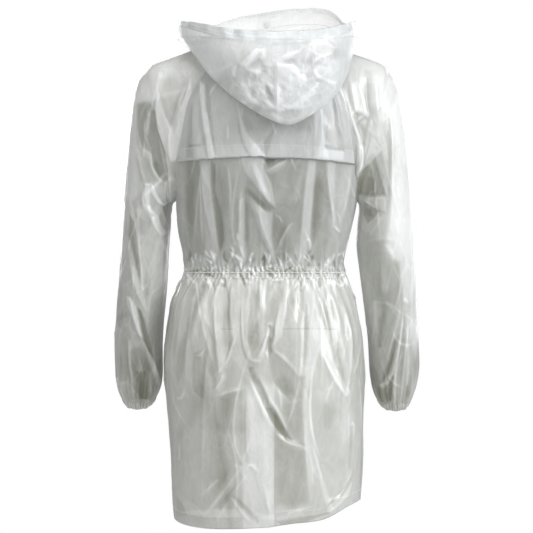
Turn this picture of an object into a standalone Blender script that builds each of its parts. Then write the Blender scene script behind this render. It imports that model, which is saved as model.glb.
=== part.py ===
"""A knee-length hooded raincoat of thin translucent film, at its real size, filled out as when it is worn.

+Z is up, the coat's front faces -Y and the wearer's left is +X. The origin is the centre of the neck
opening at the height of the shoulders, where the wearer holds the coat up. Sizes are in millimetres
here, and each mesh is turned into metres as it is made.

The body is a stack of level sections from the hem to the neck. Above the underarm a section ends at
the raglan seams, where the sleeves start, so the body and the sleeves share the points of that seam.
Every panel is a grid of points on this skin, with a wall behind it.
"""

import math

import bpy
import numpy as np
from mathutils.bvhtree import BVHTree

MM = 0.001
WALL = 1.2  # the film's wall
SEAM_GAP = 0.3  # between the walls of two pieces that are joined by a seam
LAP_GAP = 0.5  # between a piece and the panel that it lies on

QUARTER_COLUMNS = 19  # columns of points from the centre back or front to the side seam
UNDERARM = -291.0
WAIST = -427.0  # the middle of the waist casing
CASING_HEIGHT = 17.0
CASING_WAVES, CASING_WAVE = 50, 1.1  # how many, and how high each is
CUFF_WAVES, CUFF_WAVE = 18, 1.3
WAVE_POINTS = 3  # points round each small wave of the casing and the cuffs
BODY_WAVES, BODY_WAVE = 22, 2.6  # gathers that run on from the casing into the panels
SWELL_ABOVE, SWELL_BELOW = 3.5, 5.0  # the longer gathers that they open into


def table(columns, *rows):
    """A short table as {column: its numbers}."""
    return dict(zip(columns.split(), np.array(rows, float).T))


# Level sections of the body, from the hem up: half widths to the wearer's left and right, and depths.
BODY = table(
    "height left right back front",
    (-930, 174, 175, 151, 142),
    (-893, 175, 176, 151, 141),
    (-785, 181, 183, 149, 139),
    (-724, 184, 183, 148, 138),
    (-663, 189, 185, 147, 136),
    (-617, 194, 186, 144, 134),
    (-572, 194, 183, 139, 131),
    (-541, 189, 180, 134, 128),
    (-511, 185, 174, 127, 123),
    (-481, 180, 167, 118, 117),
    (-450, 166, 157, 106, 110),
    (-427, 155, 148, 100, 106),
    (-408, 155, 146, 100, 107),
    (-389, 158, 150, 102, 110),
    (-359, 166, 158, 107, 118),
    (-329, 171, 165, 113, 129),
    (-291, 172, 172, 121, 138),
    (-225, 172, 172, 130, 140),
    (-150, 172, 172, 133, 130),
    (-100, 172, 172, 128, 114),
    (-60, 172, 172, 117, 98),
    (-30, 172, 172, 103, 84),
    (0, 172, 172, 76, 74),
)
BODY_SQUARE = 2.35  # the sections' roundness: 2 is an ellipse

# The raglan seam on the wearer's left, from the underarm to the neck, on the back and on the front, and
# the height at the middle of the back's and the front's row of points that ends there.
RAGLAN = table(
    "share back_x back_y back_z back_middle front_x front_y front_z front_middle",
    (0.00, 172, 0, -291, -291, 172, 0, -291, -291),
    (0.09, 171, 34, -285, -270, 170, -36, -285, -268),
    (0.18, 169, 58, -264, -244, 165, -62, -264, -242),
    (0.29, 165, 78, -223, -216, 157, -85, -225, -212),
    (0.40, 160, 89, -186, -180, 149, -97, -187, -182),
    (0.52, 152, 97, -143, -142, 142, -104, -144, -150),
    (0.64, 141, 98, -102, -104, 132, -102, -106, -122),
    (0.76, 121, 90, -66, -68, 114, -90, -73, -95),
    (0.88, 94, 73, -30, -32, 88, -70, -46, -70),
    (1.00, 63, 52, 2, 4, 58, -50, -22, -48),
)
SEAM_SHARES = RAGLAN["share"]
FLAP_ROWS = len(SEAM_SHARES) - 3  # the rows of the back that the storm flap covers
NECK_SIDE = (80.0, 0.0, 10.0)  # the neckline's highest point, on the shoulder
NECK_COLUMNS = 4  # columns of the sleeve along the neckline

# Rings of each sleeve after its raglan seam: the ends of the ring's line from the inside of the arm to
# the outside, its depths behind and in front of the arm's middle, where that middle is, and how far the
# ring's back edge drops.
SLEEVE_COLUMNS = "inner_x inner_z outer_x outer_z back front middle_y drop"
SLEEVE_LEFT = table(
    SLEEVE_COLUMNS,
    (178, -296, 200, -26, 83, 86, 0, 0),
    (179, -299, 230, -45, 77, 80, 0, 0),
    (180, -303, 248, -76, 72, 75, 0, 0),
    (181, -310, 259, -145, 68, 71, 0, 0),
    (182, -318, 267, -240, 64, 67, 0, 0),
    (183, -334, 273, -326, 62, 65, -1, 0),
    (185, -374, 276, -374, 60, 63, -3, 0),
    (188, -435, 280, -435, 58, 61, -7, 0),
    (194, -496, 285, -496, 57, 59, -13, 0),
    (198, -557, 290, -557, 56, 57, -20, 3),
    (199, -610, 289, -610, 54, 54, -28, 6),
    (203, -639, 286, -639, 48, 48, -32, 8),
    (211, -656, 277, -656, 39, 39, -35, 9),
    (218, -666, 270, -666, 31, 31, -37, 10),
)
SLEEVE_RIGHT = table(
    SLEEVE_COLUMNS,
    (175, -296, 202, -27, 83, 86, 0, 0),
    (176, -299, 233, -47, 77, 80, 0, 0),
    (176, -303, 251, -79, 72, 75, 0, 0),
    (176, -310, 263, -147, 68, 71, 0, 0),
    (175, -318, 272, -240, 64, 67, 0, 0),
    (173, -334, 279, -326, 63, 66, -1, 0),
    (171, -374, 283, -374, 63, 65, -3, 0),
    (177, -425, 286, -425, 61, 63, -7, 0),
    (185, -485, 287, -485, 58, 60, -13, 0),
    (193, -550, 290, -550, 57, 58, -20, 3),
    (197, -607, 292, -607, 55, 55, -28, 6),
    (203, -640, 287, -640, 48, 48, -32, 8),
    (211, -659, 277, -659, 39, 39, -35, 9),
    (218, -669, 271, -669, 31, 31, -37, 10),
)
SEAM_ANGLE = 155.0  # degrees round the arm from the underarm to where the raglan seam meets the neck
FAN_ROWS = 7  # rings that fan out from the underarm
CUFF_HEIGHT = 15.0
CUFF_FLARE = 2.0
SHOULDER_SQUARE = 1.0  # how much squarer than an ellipse the rings at the raglan seam are
SLEEVE_ROWS = 19

# Rings of the hood, from the neck seam over the roll, down the pouch's near wall, round its bottom and
# up its far wall to the rim. Half width, depths, and heights behind, beside and in front of the neck.
HOOD = table(
    "share half back front z_back z_side z_front",
    (0.00, 80, 76, 74, 0, 10, -50),
    (0.12, 93, 93, 82, 18, 22, -18),
    (0.32, 126, 134, 90, -60, 20, 14),
    (0.48, 148, 160, 96, -150, 6, 40),
    (0.56, 157, 180, 98, -160, 8, 52),
    (0.74, 170, 203, 100, -74, 18, 68),
    (0.90, 172, 200, 99, -18, 36, 80),
    (1.00, 170, 190, 97, 7, 45, 87),
)
HOOD_SQUARE = 2.3
# How far down each place of the pouch hangs, and how far up each place of the chin's edge stands, from
# the wearer's right (-1) to the left (1), as a share of the lowest and of the highest.
POUCH = table(
    "across low",
    (-1.0, 0),
    (-0.93, 0.30),
    (-0.85, 0.48),
    (-0.65, 0.72),
    (-0.40, 0.89),
    (-0.14, 1.0),
    (0.05, 0.95),
    (0.28, 0.83),
    (0.58, 0.62),
    (0.80, 0.38),
    (0.92, 0.16),
    (1.0, 0),
)
CHIN = table(
    "across high",
    (-1.0, 0),
    (-0.88, 0.22),
    (-0.76, 0.76),
    (-0.6, 0.98),
    (-0.4, 1.0),
    (-0.2, 0.96),
    (0.05, 0.81),
    (0.30, 0.62),
    (0.65, 0.16),
    (1.0, 0),
)
HOOD_SEAM_SHIFT = -19.0  # the pouch hangs a little to the wearer's right
HOOD_CLEARANCE = 6.0  # between the pouch and the shoulders that it lies on
HOOD_COLUMNS = 18  # on each side of the centre seam
HOOD_ROWS = np.array([0, 0.06, 0.14, 0.24, 0.34, 0.42, 0.49, 0.56, 0.65, 0.74, 0.83, 0.89])
BRIM_ROWS = np.array([0.89, 0.945, 1.0])

# The hem's height round the coat, from the centre back (0) by the wearer's left (0.25) and the centre
# front (0.5) to the right (0.75). It is caught up at the wearer's right.
HEM = table(
    "around height",
    (0.00, -894),
    (0.10, -899),
    (0.25, -893),
    (0.40, -897),
    (0.50, -899),
    (0.62, -893),
    (0.70, -874),
    (0.76, -860),
    (0.84, -862),
    (0.90, -882),
    (0.96, -888),
    (1.00, -894),
)
HEM_LOWEST = -925.0
SKIRT_ROWS = np.array([0, 0.035, 0.09, 0.19, 0.32, 0.46, 0.62, 0.81, 1.0])
ARMHOLE_WIDTH = 0.15  # how much of a quarter of the body the flat bottom of the armhole takes
UPPER_ROWS = np.array([0, 0.08, 0.22, 0.45, 0.72])  # from the casing to the underarm

VENT_COLUMN = -1  # the centre back seam of the skirt, one column to the wearer's right
UNDERLAP_ROWS = 5  # from the hem to the vent's top
UNDERLAP_COLUMNS = 5
UNDERLAP_INSET = 4.0  # its hem ends above the coat's

FLAP_INSET = 5.0  # from the neck and raglan seams that it is sewn into
FLAP_STAND_OFF = 3.6  # of its free edge
FLAP_DROOP = 4.0  # of its free edge on the wearer's right

PLACKET_HALF = 17.0
PLACKET_COLUMNS = 5
PLACKET_GAP = 1.2  # it spans the bend at the neck and the gathers at the waist
PLACKET_INSET = 3.0  # from the chin's edge and from the hem
PLACKET_CALM = (0.034, 0.055)  # the gathers start this far round from the centre front
SNAP_HEIGHTS = (56, -92, -200, -308, -476, -590, -704, -818)
SNAP_SIDES = 9
SNAP_RADIUS, SNAP_HEIGHT = 6.5, 2.0

# The largest folds, as seen from behind or from in front: a curve through three points, the fold's
# height there, and how far it spreads on each side of the curve. A narrow side is the steep one.
FOLD_SPREAD = 1.5  # the points of the panels can't hold a fold as narrow as the film's own
FOLD_COLUMNS = "x0 z0 x1 z1 x2 z2 height left right"
BACK_FOLDS = table(
    FOLD_COLUMNS,
    (108, -130, 102, -250, 90, -385, 7, 10, 20),
    (97, -270, 88, -340, 84, -400, -7, 8, 12),
    (45, -170, 10, -240, -13, -305, 9, 30, 9),
    (38, -265, 15, -290, -10, -312, -8, 10, 10),
    (28, -290, 5, -350, -12, -395, 8, 18, 8),
    (-82, -215, -72, -300, -62, -390, 7, 12, 16),
    (-93, -220, -90, -300, -86, -390, -7, 10, 12),
    (-112, -225, -122, -310, -134, -350, 7, 10, 14),
    (40, -515, 30, -590, -2, -520, 7, 9, 9),
    (-4, -535, -6, -590, -20, -640, -8, 12, 10),
    (-8, -560, -36, -595, -60, -618, 8, 12, 20),
    (-70, -500, -66, -560, -66, -625, -6, 10, 12),
    (38, -600, 4, -665, -36, -735, 9, 14, 10),
    (-36, -735, -52, -743, -70, -745, 7, 10, 8),
    (-70, -650, -78, -770, -86, -830, 6, 12, 14),
    (20, -780, 55, -825, 108, -885, -8, 14, 16),
    (84, -520, 88, -610, 96, -650, 7, 12, 10),
    (108, -540, 112, -640, 122, -740, -6, 12, 14),
    (-120, -500, -142, -590, -152, -655, 7, 12, 16),
    (-8, -720, -12, -810, -12, -880, 5, 16, 6),
)
FRONT_FOLDS = table(
    FOLD_COLUMNS,
    (95, -150, 88, -260, 70, -390, 7, 14, 12),
    (120, -250, 112, -320, 100, -395, -6, 12, 12),
    (-90, -160, -84, -270, -64, -392, 7, 12, 14),
    (-125, -230, -112, -310, -98, -396, -6, 12, 12),
    (48, -300, 44, -350, 34, -400, 6, 10, 10),
    (-52, -290, -46, -350, -38, -402, 6, 10, 10),
    (60, -460, 74, -560, 70, -680, 8, 14, 12),
    (110, -470, 124, -600, 118, -740, -7, 14, 14),
    (-56, -462, -70, -550, -66, -660, 8, 12, 14),
    (-104, -470, -122, -580, -128, -720, -7, 14, 14),
    (36, -560, 46, -700, 90, -830, 7, 14, 12),
    (-40, -600, -52, -730, -96, -850, 7, 12, 14),
)
SLEEVE_LEFT_FOLDS = table(
    FOLD_COLUMNS,
    (204, -60, 196, -170, 176, -270, 8, 12, 18),
    (150, -80, 172, -160, 184, -240, 7, 8, 14),
    (222, -200, 232, -300, 215, -330, -7, 12, 12),
    (214, -340, 236, -430, 226, -500, 7, 12, 10),
    (262, -470, 248, -560, 216, -640, 8, 10, 14),
    (270, -520, 262, -590, 250, -655, 5, 10, 10),
)
SLEEVE_RIGHT_FOLDS = table(
    FOLD_COLUMNS,
    (-180, -66, -190, -130, -206, -190, 8, 12, 14),
    (-196, -150, -226, -170, -196, -205, -8, 12, 12),
    (-176, -285, -206, -306, -190, -330, 7, 10, 10),
    (-226, -160, -232, -280, -230, -360, 6, 12, 12),
    (-262, -440, -244, -540, -222, -620, 7, 12, 12),
    (-270, -500, -256, -580, -240, -655, 7, 10, 10),
)
HOOD_FOLDS = table(
    FOLD_COLUMNS,
    (-14, -10, -16, -60, -16, -125, 5, 8, 8),
    (14, 0, 30, -20, 48, -46, 7, 10, 12),
    (-26, -28, -34, -48, -52, -60, 7, 10, 9),
    (34, -50, 20, -80, -10, -110, -7, 10, 10),
    (-84, -46, -110, -58, -124, -84, 6, 10, 8),
    (30, -118, -16, -124, -60, -112, -6, 9, 9),
)

ALL_EDGES = ("bottom", "top", "first", "last")
FILM = (0.80, 0.82, 0.81, 1.0)
SEALED = (0.72, 0.74, 0.73, 1.0)
SNAP_PLASTIC = (0.86, 0.87, 0.87, 1.0)


# ---------------------------------------------------------------- curves and grids


def through(x, y, at):
    """Values at `at` on a smooth curve through the points (x, y), with x rising."""
    x = np.asarray(x, float)
    y = np.asarray(y, float)
    at = np.clip(np.atleast_1d(np.asarray(at, float)), x[0], x[-1])
    spread = [1] * (y.ndim - 1)
    run = np.diff(x).reshape(-1, *spread)
    slope = np.diff(y, axis=0) / run
    inner = (slope[:-1] * run[1:] + slope[1:] * run[:-1]) / (run[1:] + run[:-1])
    tangent = np.concatenate([slope[:1], inner, slope[-1:]])
    i = np.clip(np.searchsorted(x, at, side="right") - 1, 0, len(x) - 2)
    t = ((at - x[i]) / (x[i + 1] - x[i])).reshape(-1, *spread)
    h = run[i]
    return (
        (1 + 2 * t) * (1 - t) ** 2 * y[i]
        + t * (1 - t) ** 2 * h * tangent[i]
        + t**2 * (3 - 2 * t) * y[i + 1]
        - t**2 * (1 - t) * h * tangent[i + 1]
    )


def evenly(points, shares):
    """Points at these shares of the length of a line of points."""
    steps = np.linalg.norm(np.diff(points, axis=0), axis=1)
    length = np.concatenate([[0], np.cumsum(steps)])
    at = np.asarray(shares) * length[-1]
    return np.stack([np.interp(at, length, points[:, k]) for k in range(3)], axis=1)


def smoothstep(low, high, value):
    t = np.clip((value - low) / (high - low), 0, 1)
    return t * t * (3 - 2 * t)


def unit(vectors):
    return vectors / np.maximum(np.linalg.norm(vectors, axis=-1, keepdims=True), 1e-9)


def grid_normals(grid, closed=False):
    """The normal at each point of a grid of rows (up) and columns (across), from the four faces round it."""
    wide = np.concatenate([grid, grid[:, :1]], axis=1) if closed else grid
    face = unit(np.cross(wide[1:, 1:] - wide[:-1, :-1], wide[1:, :-1] - wide[:-1, 1:]))
    face = np.concatenate([face[:1], face, face[-1:]])
    if closed:
        face = np.concatenate([face[:, -1:], face], axis=1)
    else:
        face = np.concatenate([face[:, :1], face, face[:, -1:]], axis=1)
    return unit(face[1:, 1:] + face[1:, :-1] + face[:-1, 1:] + face[:-1, :-1])


def level(normals):
    """The same normals laid level, for the edges of a level seam."""
    flat = normals.copy()
    flat[..., 2] = 0
    return unit(flat)


def pull_in(grid, edge, distance):
    """Moves one edge of a grid back along its own rows or columns, over half their step at the most."""
    out = grid.copy()
    line, inside = {
        "bottom": (np.s_[0], np.s_[1]),
        "top": (np.s_[-1], np.s_[-2]),
        "first": (np.s_[:, 0], np.s_[:, 1]),
        "last": (np.s_[:, -1], np.s_[:, -2]),
    }[edge]
    step = grid[inside] - grid[line]
    length = np.linalg.norm(step, axis=-1, keepdims=True)
    out[line] = grid[line] + unit(step) * np.minimum(distance, 0.6 * length)
    return out


# ---------------------------------------------------------------- folds and gathers


def fold_relief(points, normals, folds, facing):
    """How far each point is lifted by the folds, where the skin faces +Y (facing 1) or -Y (facing -1)."""
    shown = smoothstep(0.05, 0.4, facing * normals[..., 1])
    total = np.zeros(points.shape[:-1])
    flat = points[..., [0, 2]]
    t = np.linspace(0, 1, 17)[:, None]
    for x0, z0, x1, z1, x2, z2, height, left, right in zip(*folds.values()):
        start, middle, end = np.array([x0, z0]), np.array([x1, z1]), np.array([x2, z2])
        bend = 2 * middle - (start + end) / 2
        line = start * (1 - t) ** 2 + bend * 2 * t * (1 - t) + end * t**2
        away = flat[..., None, :] - line
        distance = np.linalg.norm(away, axis=-1)
        nearest = distance.argmin(axis=-1)
        way = unit(np.gradient(line, axis=0))[nearest]
        offset = np.take_along_axis(away, nearest[..., None, None], axis=-2)[..., 0, :]
        side = way[..., 0] * offset[..., 1] - way[..., 1] * offset[..., 0]
        width = FOLD_SPREAD * np.where(side > 0, left, right)
        reach = np.clip(distance.min(axis=-1) / width, 0, 1)
        fade = np.sin(math.pi * np.clip(nearest / 16, 0.08, 0.92)) ** 0.7
        total += height * fade * (1 - reach) ** 2 * (1 + 2 * reach)
    return total * shown


def gather_relief(around, height):
    """The gathers above and below the waist casing: short ones at it, longer ones further from it."""
    away = np.abs(height - WAIST) - CASING_HEIGHT / 2
    below = height < WAIST
    uneven = 0.75 + 0.25 * np.sin(2 * math.pi * (3 * around + 0.13))
    short = np.sin(2 * math.pi * BODY_WAVES * around) * np.exp(-np.maximum(away, 0) / 26)
    long_wave = np.sin(2 * math.pi * (BODY_WAVES / 2 * around + 0.3 + 0.1 * np.sin(6 * math.pi * around)))
    reach = np.where(below, 130, 70)
    swell = smoothstep(0, 35, away) * np.exp(-np.maximum(away, 0) / reach)
    long_wave = long_wave * swell * np.where(below, SWELL_BELOW, SWELL_ABOVE)
    return (BODY_WAVE * short + long_wave) * uneven * beside_placket(around)


def beside_placket(around):
    """0 at the centre front, under the placket, and 1 away from it."""
    return smoothstep(*PLACKET_CALM, np.abs(around % 1 - 0.5))


# ---------------------------------------------------------------- the skin of the body


def quarter(end, middle_y, middle_z, shares):
    """Points of one quarter of a section, from its middle at x = 0 out to `end`."""
    n = BODY_SQUARE
    share = abs(end[1] / middle_y)
    half = abs(end[0]) / (1 - share**n) ** (1 / n)
    angle = np.linspace(0, math.acos(share ** (n / 2)), 60)
    x = half * np.sin(angle) ** (2 / n)
    y = middle_y * np.cos(angle) ** (2 / n)
    z = end[2] + (middle_z - end[2]) * (1 - np.clip(x / abs(end[0]), 0, 1) ** 2)
    return evenly(np.stack([x * np.sign(end[0]), y, z], axis=1), shares)


def seam_point(share, where, side):
    """A point of the raglan seam, on the back or front, and on side 1, the wearer's left, or side -1."""
    x, y, z = (through(SEAM_SHARES, RAGLAN[f"{where}_{axis}"], share)[0] for axis in "xyz")
    return np.array([side * x, y, z])


def body_row(height, where, share=None, underarm=0.0):
    """One row of the body from the wearer's right to the left, level below the underarm. Above it the
    row belongs to a share of the raglan seam. underarm is how much of its end lies below the armhole."""
    shares = np.linspace(0, 1 - underarm, QUARTER_COLUMNS + 1)
    shares[-1] = 1
    facing = 1 if where == "back" else -1
    halves = []
    for side, name in ((-1, "right"), (1, "left")):
        if share is None:
            end = np.array([side * through(BODY["height"], BODY[name], height)[0], 0, height])
            middle_z = height
        else:
            end = seam_point(share, where, side)
            middle_z = through(SEAM_SHARES, RAGLAN[where + "_middle"], share)[0]
        depth = facing * through(BODY["height"], BODY[where], middle_z)[0]
        halves.append(quarter(end, depth, middle_z, shares))
    return np.concatenate([halves[0][::-1], halves[1][1:]])


def around_of(where):
    """How far round the coat each column of a row is: 0 at the centre back, 0.5 at the centre front."""
    share = np.linspace(-1, 1, 2 * QUARTER_COLUMNS + 1)
    return share * 0.25 if where == "back" else 0.5 - share * 0.25


def upper_grid(where):
    """The back or the front above the waist casing, from the right side to the left."""
    low = WAIST + CASING_HEIGHT / 2
    rows = [body_row(low + (UNDERARM - low) * t, where, underarm=ARMHOLE_WIDTH * t) for t in UPPER_ROWS]
    rows += [body_row(UNDERARM, where, underarm=ARMHOLE_WIDTH)]
    rows += [body_row(None, where, share) for share in SEAM_SHARES[1:]]
    return np.array(rows)


def skirt_grid(where):
    """The back or the front below the waist casing, from the hem up."""
    heights = np.linspace(HEM_LOWEST, WAIST - CASING_HEIGHT / 2, 60)
    dense = np.array([body_row(z, where) for z in heights])
    around = around_of(where) % 1
    hem = through(HEM["around"], HEM["height"], around)
    top = heights[-1]
    grid = np.empty((len(SKIRT_ROWS), dense.shape[1], 3))
    for column in range(dense.shape[1]):
        wanted = top + (hem[column] - top) * SKIRT_ROWS[::-1]
        for axis in range(2):
            grid[:, column, axis] = np.interp(wanted, heights, dense[:, column, axis])
        grid[:, column, 2] = wanted
    return grid


def outward(grid, normals, where):
    """Normals turned so that they point out of the coat."""
    facing = 1 if where == "back" else -1
    return normals * np.sign((normals[..., 1] * facing).sum())


def relief_of_body(grid, normals, where):
    folds, facing = (BACK_FOLDS, 1) if where == "back" else (FRONT_FOLDS, -1)
    calm = smoothstep(20, 40, np.abs(grid[..., 0])) if where == "front" else 1
    folds_here = fold_relief(grid, normals, folds, facing) * calm
    near_casing = smoothstep(8, 40, np.abs(grid[..., 2] - WAIST))
    return folds_here * near_casing + gather_relief(around_of(where), grid[..., 2])


def closed_normals(back, front):
    """Normals of the back and the front, made equal where the two meet at the side seams."""
    n_back = outward(back, grid_normals(back), "back")
    n_front = outward(front, grid_normals(front), "front")
    rows = min(len(back), len(front))
    for column in (0, -1):
        shared = unit(n_back[:rows, column] + n_front[:rows, column])
        n_back[:rows, column] = shared
        n_front[:rows, column] = shared
    return n_back, n_front


# ---------------------------------------------------------------- the skin of a sleeve


def neck_edge(side):
    """The sleeve's edge along the neckline, from the back raglan seam to the front one."""
    back, front = seam_point(1, "back", side), seam_point(1, "front", side)
    top = np.array([side * NECK_SIDE[0], NECK_SIDE[1], NECK_SIDE[2]])
    bend = 2 * top - (back + front) / 2
    t = np.linspace(0, 1, NECK_COLUMNS + 1)[:, None]
    return back * (1 - t) ** 2 + bend * 2 * t * (1 - t) + front * t**2


def ring_angles():
    """The angle of each column round the arm: 0 under the arm, 180 outside, through the back first."""
    seam = np.linspace(0, SEAM_ANGLE, len(SEAM_SHARES))
    neck = np.linspace(SEAM_ANGLE, 360 - SEAM_ANGLE, NECK_COLUMNS + 1)
    return np.radians(np.concatenate([seam, neck[1:], 360 - seam[::-1][1:-1]]))


def sleeve_ring(rings, row, side):
    """One ring of a sleeve, as a round section across the line from its inner to its outer end."""
    angle = ring_angles()
    share = (1 - np.cos(angle)) / 2
    square = 2 + SHOULDER_SQUARE * 0.6**row
    deep = (1 - np.abs(np.cos(angle)) ** square) ** (1 / square)
    depth = np.where(angle < math.pi, rings["back"][row], -rings["front"][row])
    x = rings["inner_x"][row] + share * (rings["outer_x"][row] - rings["inner_x"][row])
    z = rings["inner_z"][row] + share * (rings["outer_z"][row] - rings["inner_z"][row])
    z = z - rings["drop"][row] * deep * np.sign(depth)
    return np.stack([side * x, rings["middle_y"][row] + depth * deep, z], axis=1)


def sleeve_grid(rings, side):
    """A sleeve from its raglan seam to the cuff, as rings of points."""
    back = [seam_point(s, "back", side) for s in SEAM_SHARES[:-1]]
    front = [seam_point(s, "front", side) for s in SEAM_SHARES[1:-1]][::-1]
    first = np.array(back + list(neck_edge(side)) + front)
    count = len(rings["back"])
    control = np.array([first] + [sleeve_ring(rings, row, side) for row in range(count)])
    rows = np.concatenate([np.arange(FAN_ROWS), np.linspace(FAN_ROWS, count, SLEEVE_ROWS - FAN_ROWS)])
    return through(np.arange(count + 1), control, rows)


def tube_normals(grid):
    """Normals of a tube of rings, pointing away from its middle."""
    normals = grid_normals(grid, closed=True)
    middle = grid.mean(axis=1, keepdims=True)
    return normals * np.sign((normals * (grid - middle)).sum())


# ---------------------------------------------------------------- the skin of the hood


def hood_ring(row, angle):
    """One ring of the hood. The angle is 0 behind the neck, positive to the wearer's left."""
    half, back, front, z_back, z_side, z_front = (
        HOOD[name][row] for name in "half back front z_back z_side z_front".split()
    )
    share = HOOD["share"][row]
    sine, cosine = np.sin(angle), np.cos(angle)
    across = np.sign(sine) * np.abs(sine) ** (2 / HOOD_SQUARE)
    y = np.where(cosine > 0, back, -front) * np.abs(cosine) ** (2 / HOOD_SQUARE)
    pouch = max(0.0, 1 - abs(share - 0.52) / 0.42)
    low = cosine**2 * (1 - pouch) + through(POUCH["across"], POUCH["low"], across) * pouch
    high = cosine**2 * (1 - share**2) + through(CHIN["across"], CHIN["high"], across) * share**2
    z = z_side + np.where(cosine > 0, (z_back - z_side) * low, (z_front - z_side) * high)
    shift = HOOD_SEAM_SHIFT * smoothstep(0.1, 0.5, share) * smoothstep(0.0, 1.0, cosine)
    return np.stack([half * across + shift, y, z], axis=1)


def neckline(angle):
    """The neck seam at these angles: level with the tops of the back, the sleeves and the fronts."""
    back = body_row(None, "back", 1.0)
    front = body_row(None, "front", 1.0)[::-1]
    left, right = neck_edge(1), neck_edge(-1)[::-1]
    half = QUARTER_COLUMNS
    loop = np.concatenate([back[half:], left[1:], front[1:], right[1:], back[1 : half + 1]])
    around = np.unwrap(np.arctan2(loop[:, 0], loop[:, 1]))
    return np.stack([np.interp(angle % (2 * math.pi), around, loop[:, k]) for k in range(3)], axis=1)


def hood_grid(shares, covered):
    """The hood from the centre front by the wearer's right, the back and the left to the centre front.
    covered is what its near wall lies on, as (points, faces)."""
    angle = np.linspace(-math.pi, math.pi, 2 * HOOD_COLUMNS + 1)
    inside = np.clip(angle, -math.pi + 1e-6, math.pi - 1e-6)
    control = np.array([hood_ring(row, inside) for row in range(len(HOOD["share"]))])
    control[0] = neckline(inside) + [0, 0, LAP_GAP]
    grid = through(HOOD["share"], control, shares)
    tree = BVHTree.FromPolygons(*covered)
    for row in range(1, len(shares)):
        wanted = HOOD_CLEARANCE * smoothstep(0.0, 0.1, shares[row])
        for column in range(grid.shape[1]):
            place, normal, _, _ = tree.find_nearest(grid[row, column])
            clear = (grid[row, column] - np.array(place)) @ np.array(normal)
            if clear < wanted:
                grid[row, column] += np.array(normal) * (wanted - clear)
    return grid


# ---------------------------------------------------------------- solids


def material(name, colour, roughness):
    made = bpy.data.materials.get(name) or bpy.data.materials.new(name)
    made.use_nodes = True
    shader = made.node_tree.nodes["Principled BSDF"]
    shader.inputs["Base Color"].default_value = colour
    shader.inputs["Roughness"].default_value = roughness
    shader.inputs["Metallic"].default_value = 0.0
    return made


def add_mesh(name, points, faces, finish):
    mesh = bpy.data.meshes.new(name)
    mesh.from_pydata([tuple(p) for p in np.asarray(points) * MM], [], faces)
    mesh.materials.append(finish)
    mesh.shade_smooth()
    mesh.set_sharp_from_angle(angle=math.radians(50))
    made = bpy.data.objects.new(name, mesh)
    bpy.context.scene.collection.objects.link(made)
    return made


def add_wall(name, outer, inner, finish, closed=False):
    """A solid between an outer and an inner grid, with the same diagonals on both."""
    rows, columns = outer.shape[:2]
    back = rows * columns
    last = columns if closed else columns - 1
    faces = []

    def quad(a, b, c, d):
        faces.extend([(a, b, c), (a, c, d)])

    for r in range(rows - 1):
        for c in range(last):
            a, b = r * columns + c, r * columns + (c + 1) % columns
            d, e = a + columns, b + columns
            quad(a, b, e, d)
            faces.extend([(a + back, e + back, b + back), (a + back, d + back, e + back)])
    for c in range(last):
        a, b = c, (c + 1) % columns
        quad(b, a, a + back, b + back)
        top = (rows - 1) * columns
        quad(a + top, b + top, b + top + back, a + top + back)
    if not closed:
        for r in range(rows - 1):
            a = r * columns
            quad(a, a + columns, a + columns + back, a + back)
            b = a + columns - 1
            quad(b + columns, b, b + back, b + columns + back)
    points = np.concatenate([outer.reshape(-1, 3), inner.reshape(-1, 3)])
    corners = points[np.array(faces)]
    if np.einsum("ij,ij->i", corners[:, 0], np.cross(corners[:, 1], corners[:, 2])).sum() < 0:
        faces = [face[::-1] for face in faces]
    return add_mesh(name, points, faces, finish)


def add_panel(name, grid, normals, finish, seams, closed=False):
    """A panel of film whose outer face is the grid. seams names its joined edges."""
    outer, inner = grid, grid - normals * WALL
    for edge in seams:
        outer = pull_in(outer, edge, SEAM_GAP / 2)
        inner = pull_in(inner, edge, SEAM_GAP / 2)
    return add_wall(name, outer, inner, finish, closed)


def make_upper_body(film, skins):
    """The back and the two fronts, from the waist casing to the neck."""
    middle = QUARTER_COLUMNS
    for name, skin, columns in (
        ("back", "back", np.s_[:]),
        ("front_right", "front", np.s_[: middle + 1]),
        ("front_left", "front", np.s_[middle:]),
    ):
        grid, normals = skins[skin]
        add_panel(name, grid[:, columns], normals[:, columns], film, ALL_EDGES)


def make_storm_flap(film, skins):
    """The flap lies on the upper back and is sewn into the neck and raglan seams. Its hem stands off."""
    rows = skins["back"][0][-FLAP_ROWS:].copy()
    normals = grid_normals(rows)
    normals *= np.sign(normals[0, QUARTER_COLUMNS, 1])
    across = np.linspace(-1, 1, rows.shape[1])
    down = np.linspace(1, 0, len(rows))[:, None]
    stand_off = LAP_GAP + WALL + FLAP_STAND_OFF * down**1.5 * (1 - across**4)
    for edge in ("first", "last", "top"):
        rows = pull_in(rows, edge, FLAP_INSET)
    panel = rows + normals * stand_off[..., None]
    panel[0, :, 2] -= FLAP_DROOP * smoothstep(0.2, -1.0, across)
    add_panel("storm_flap", panel, normals, film, ())
    return panel


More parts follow.
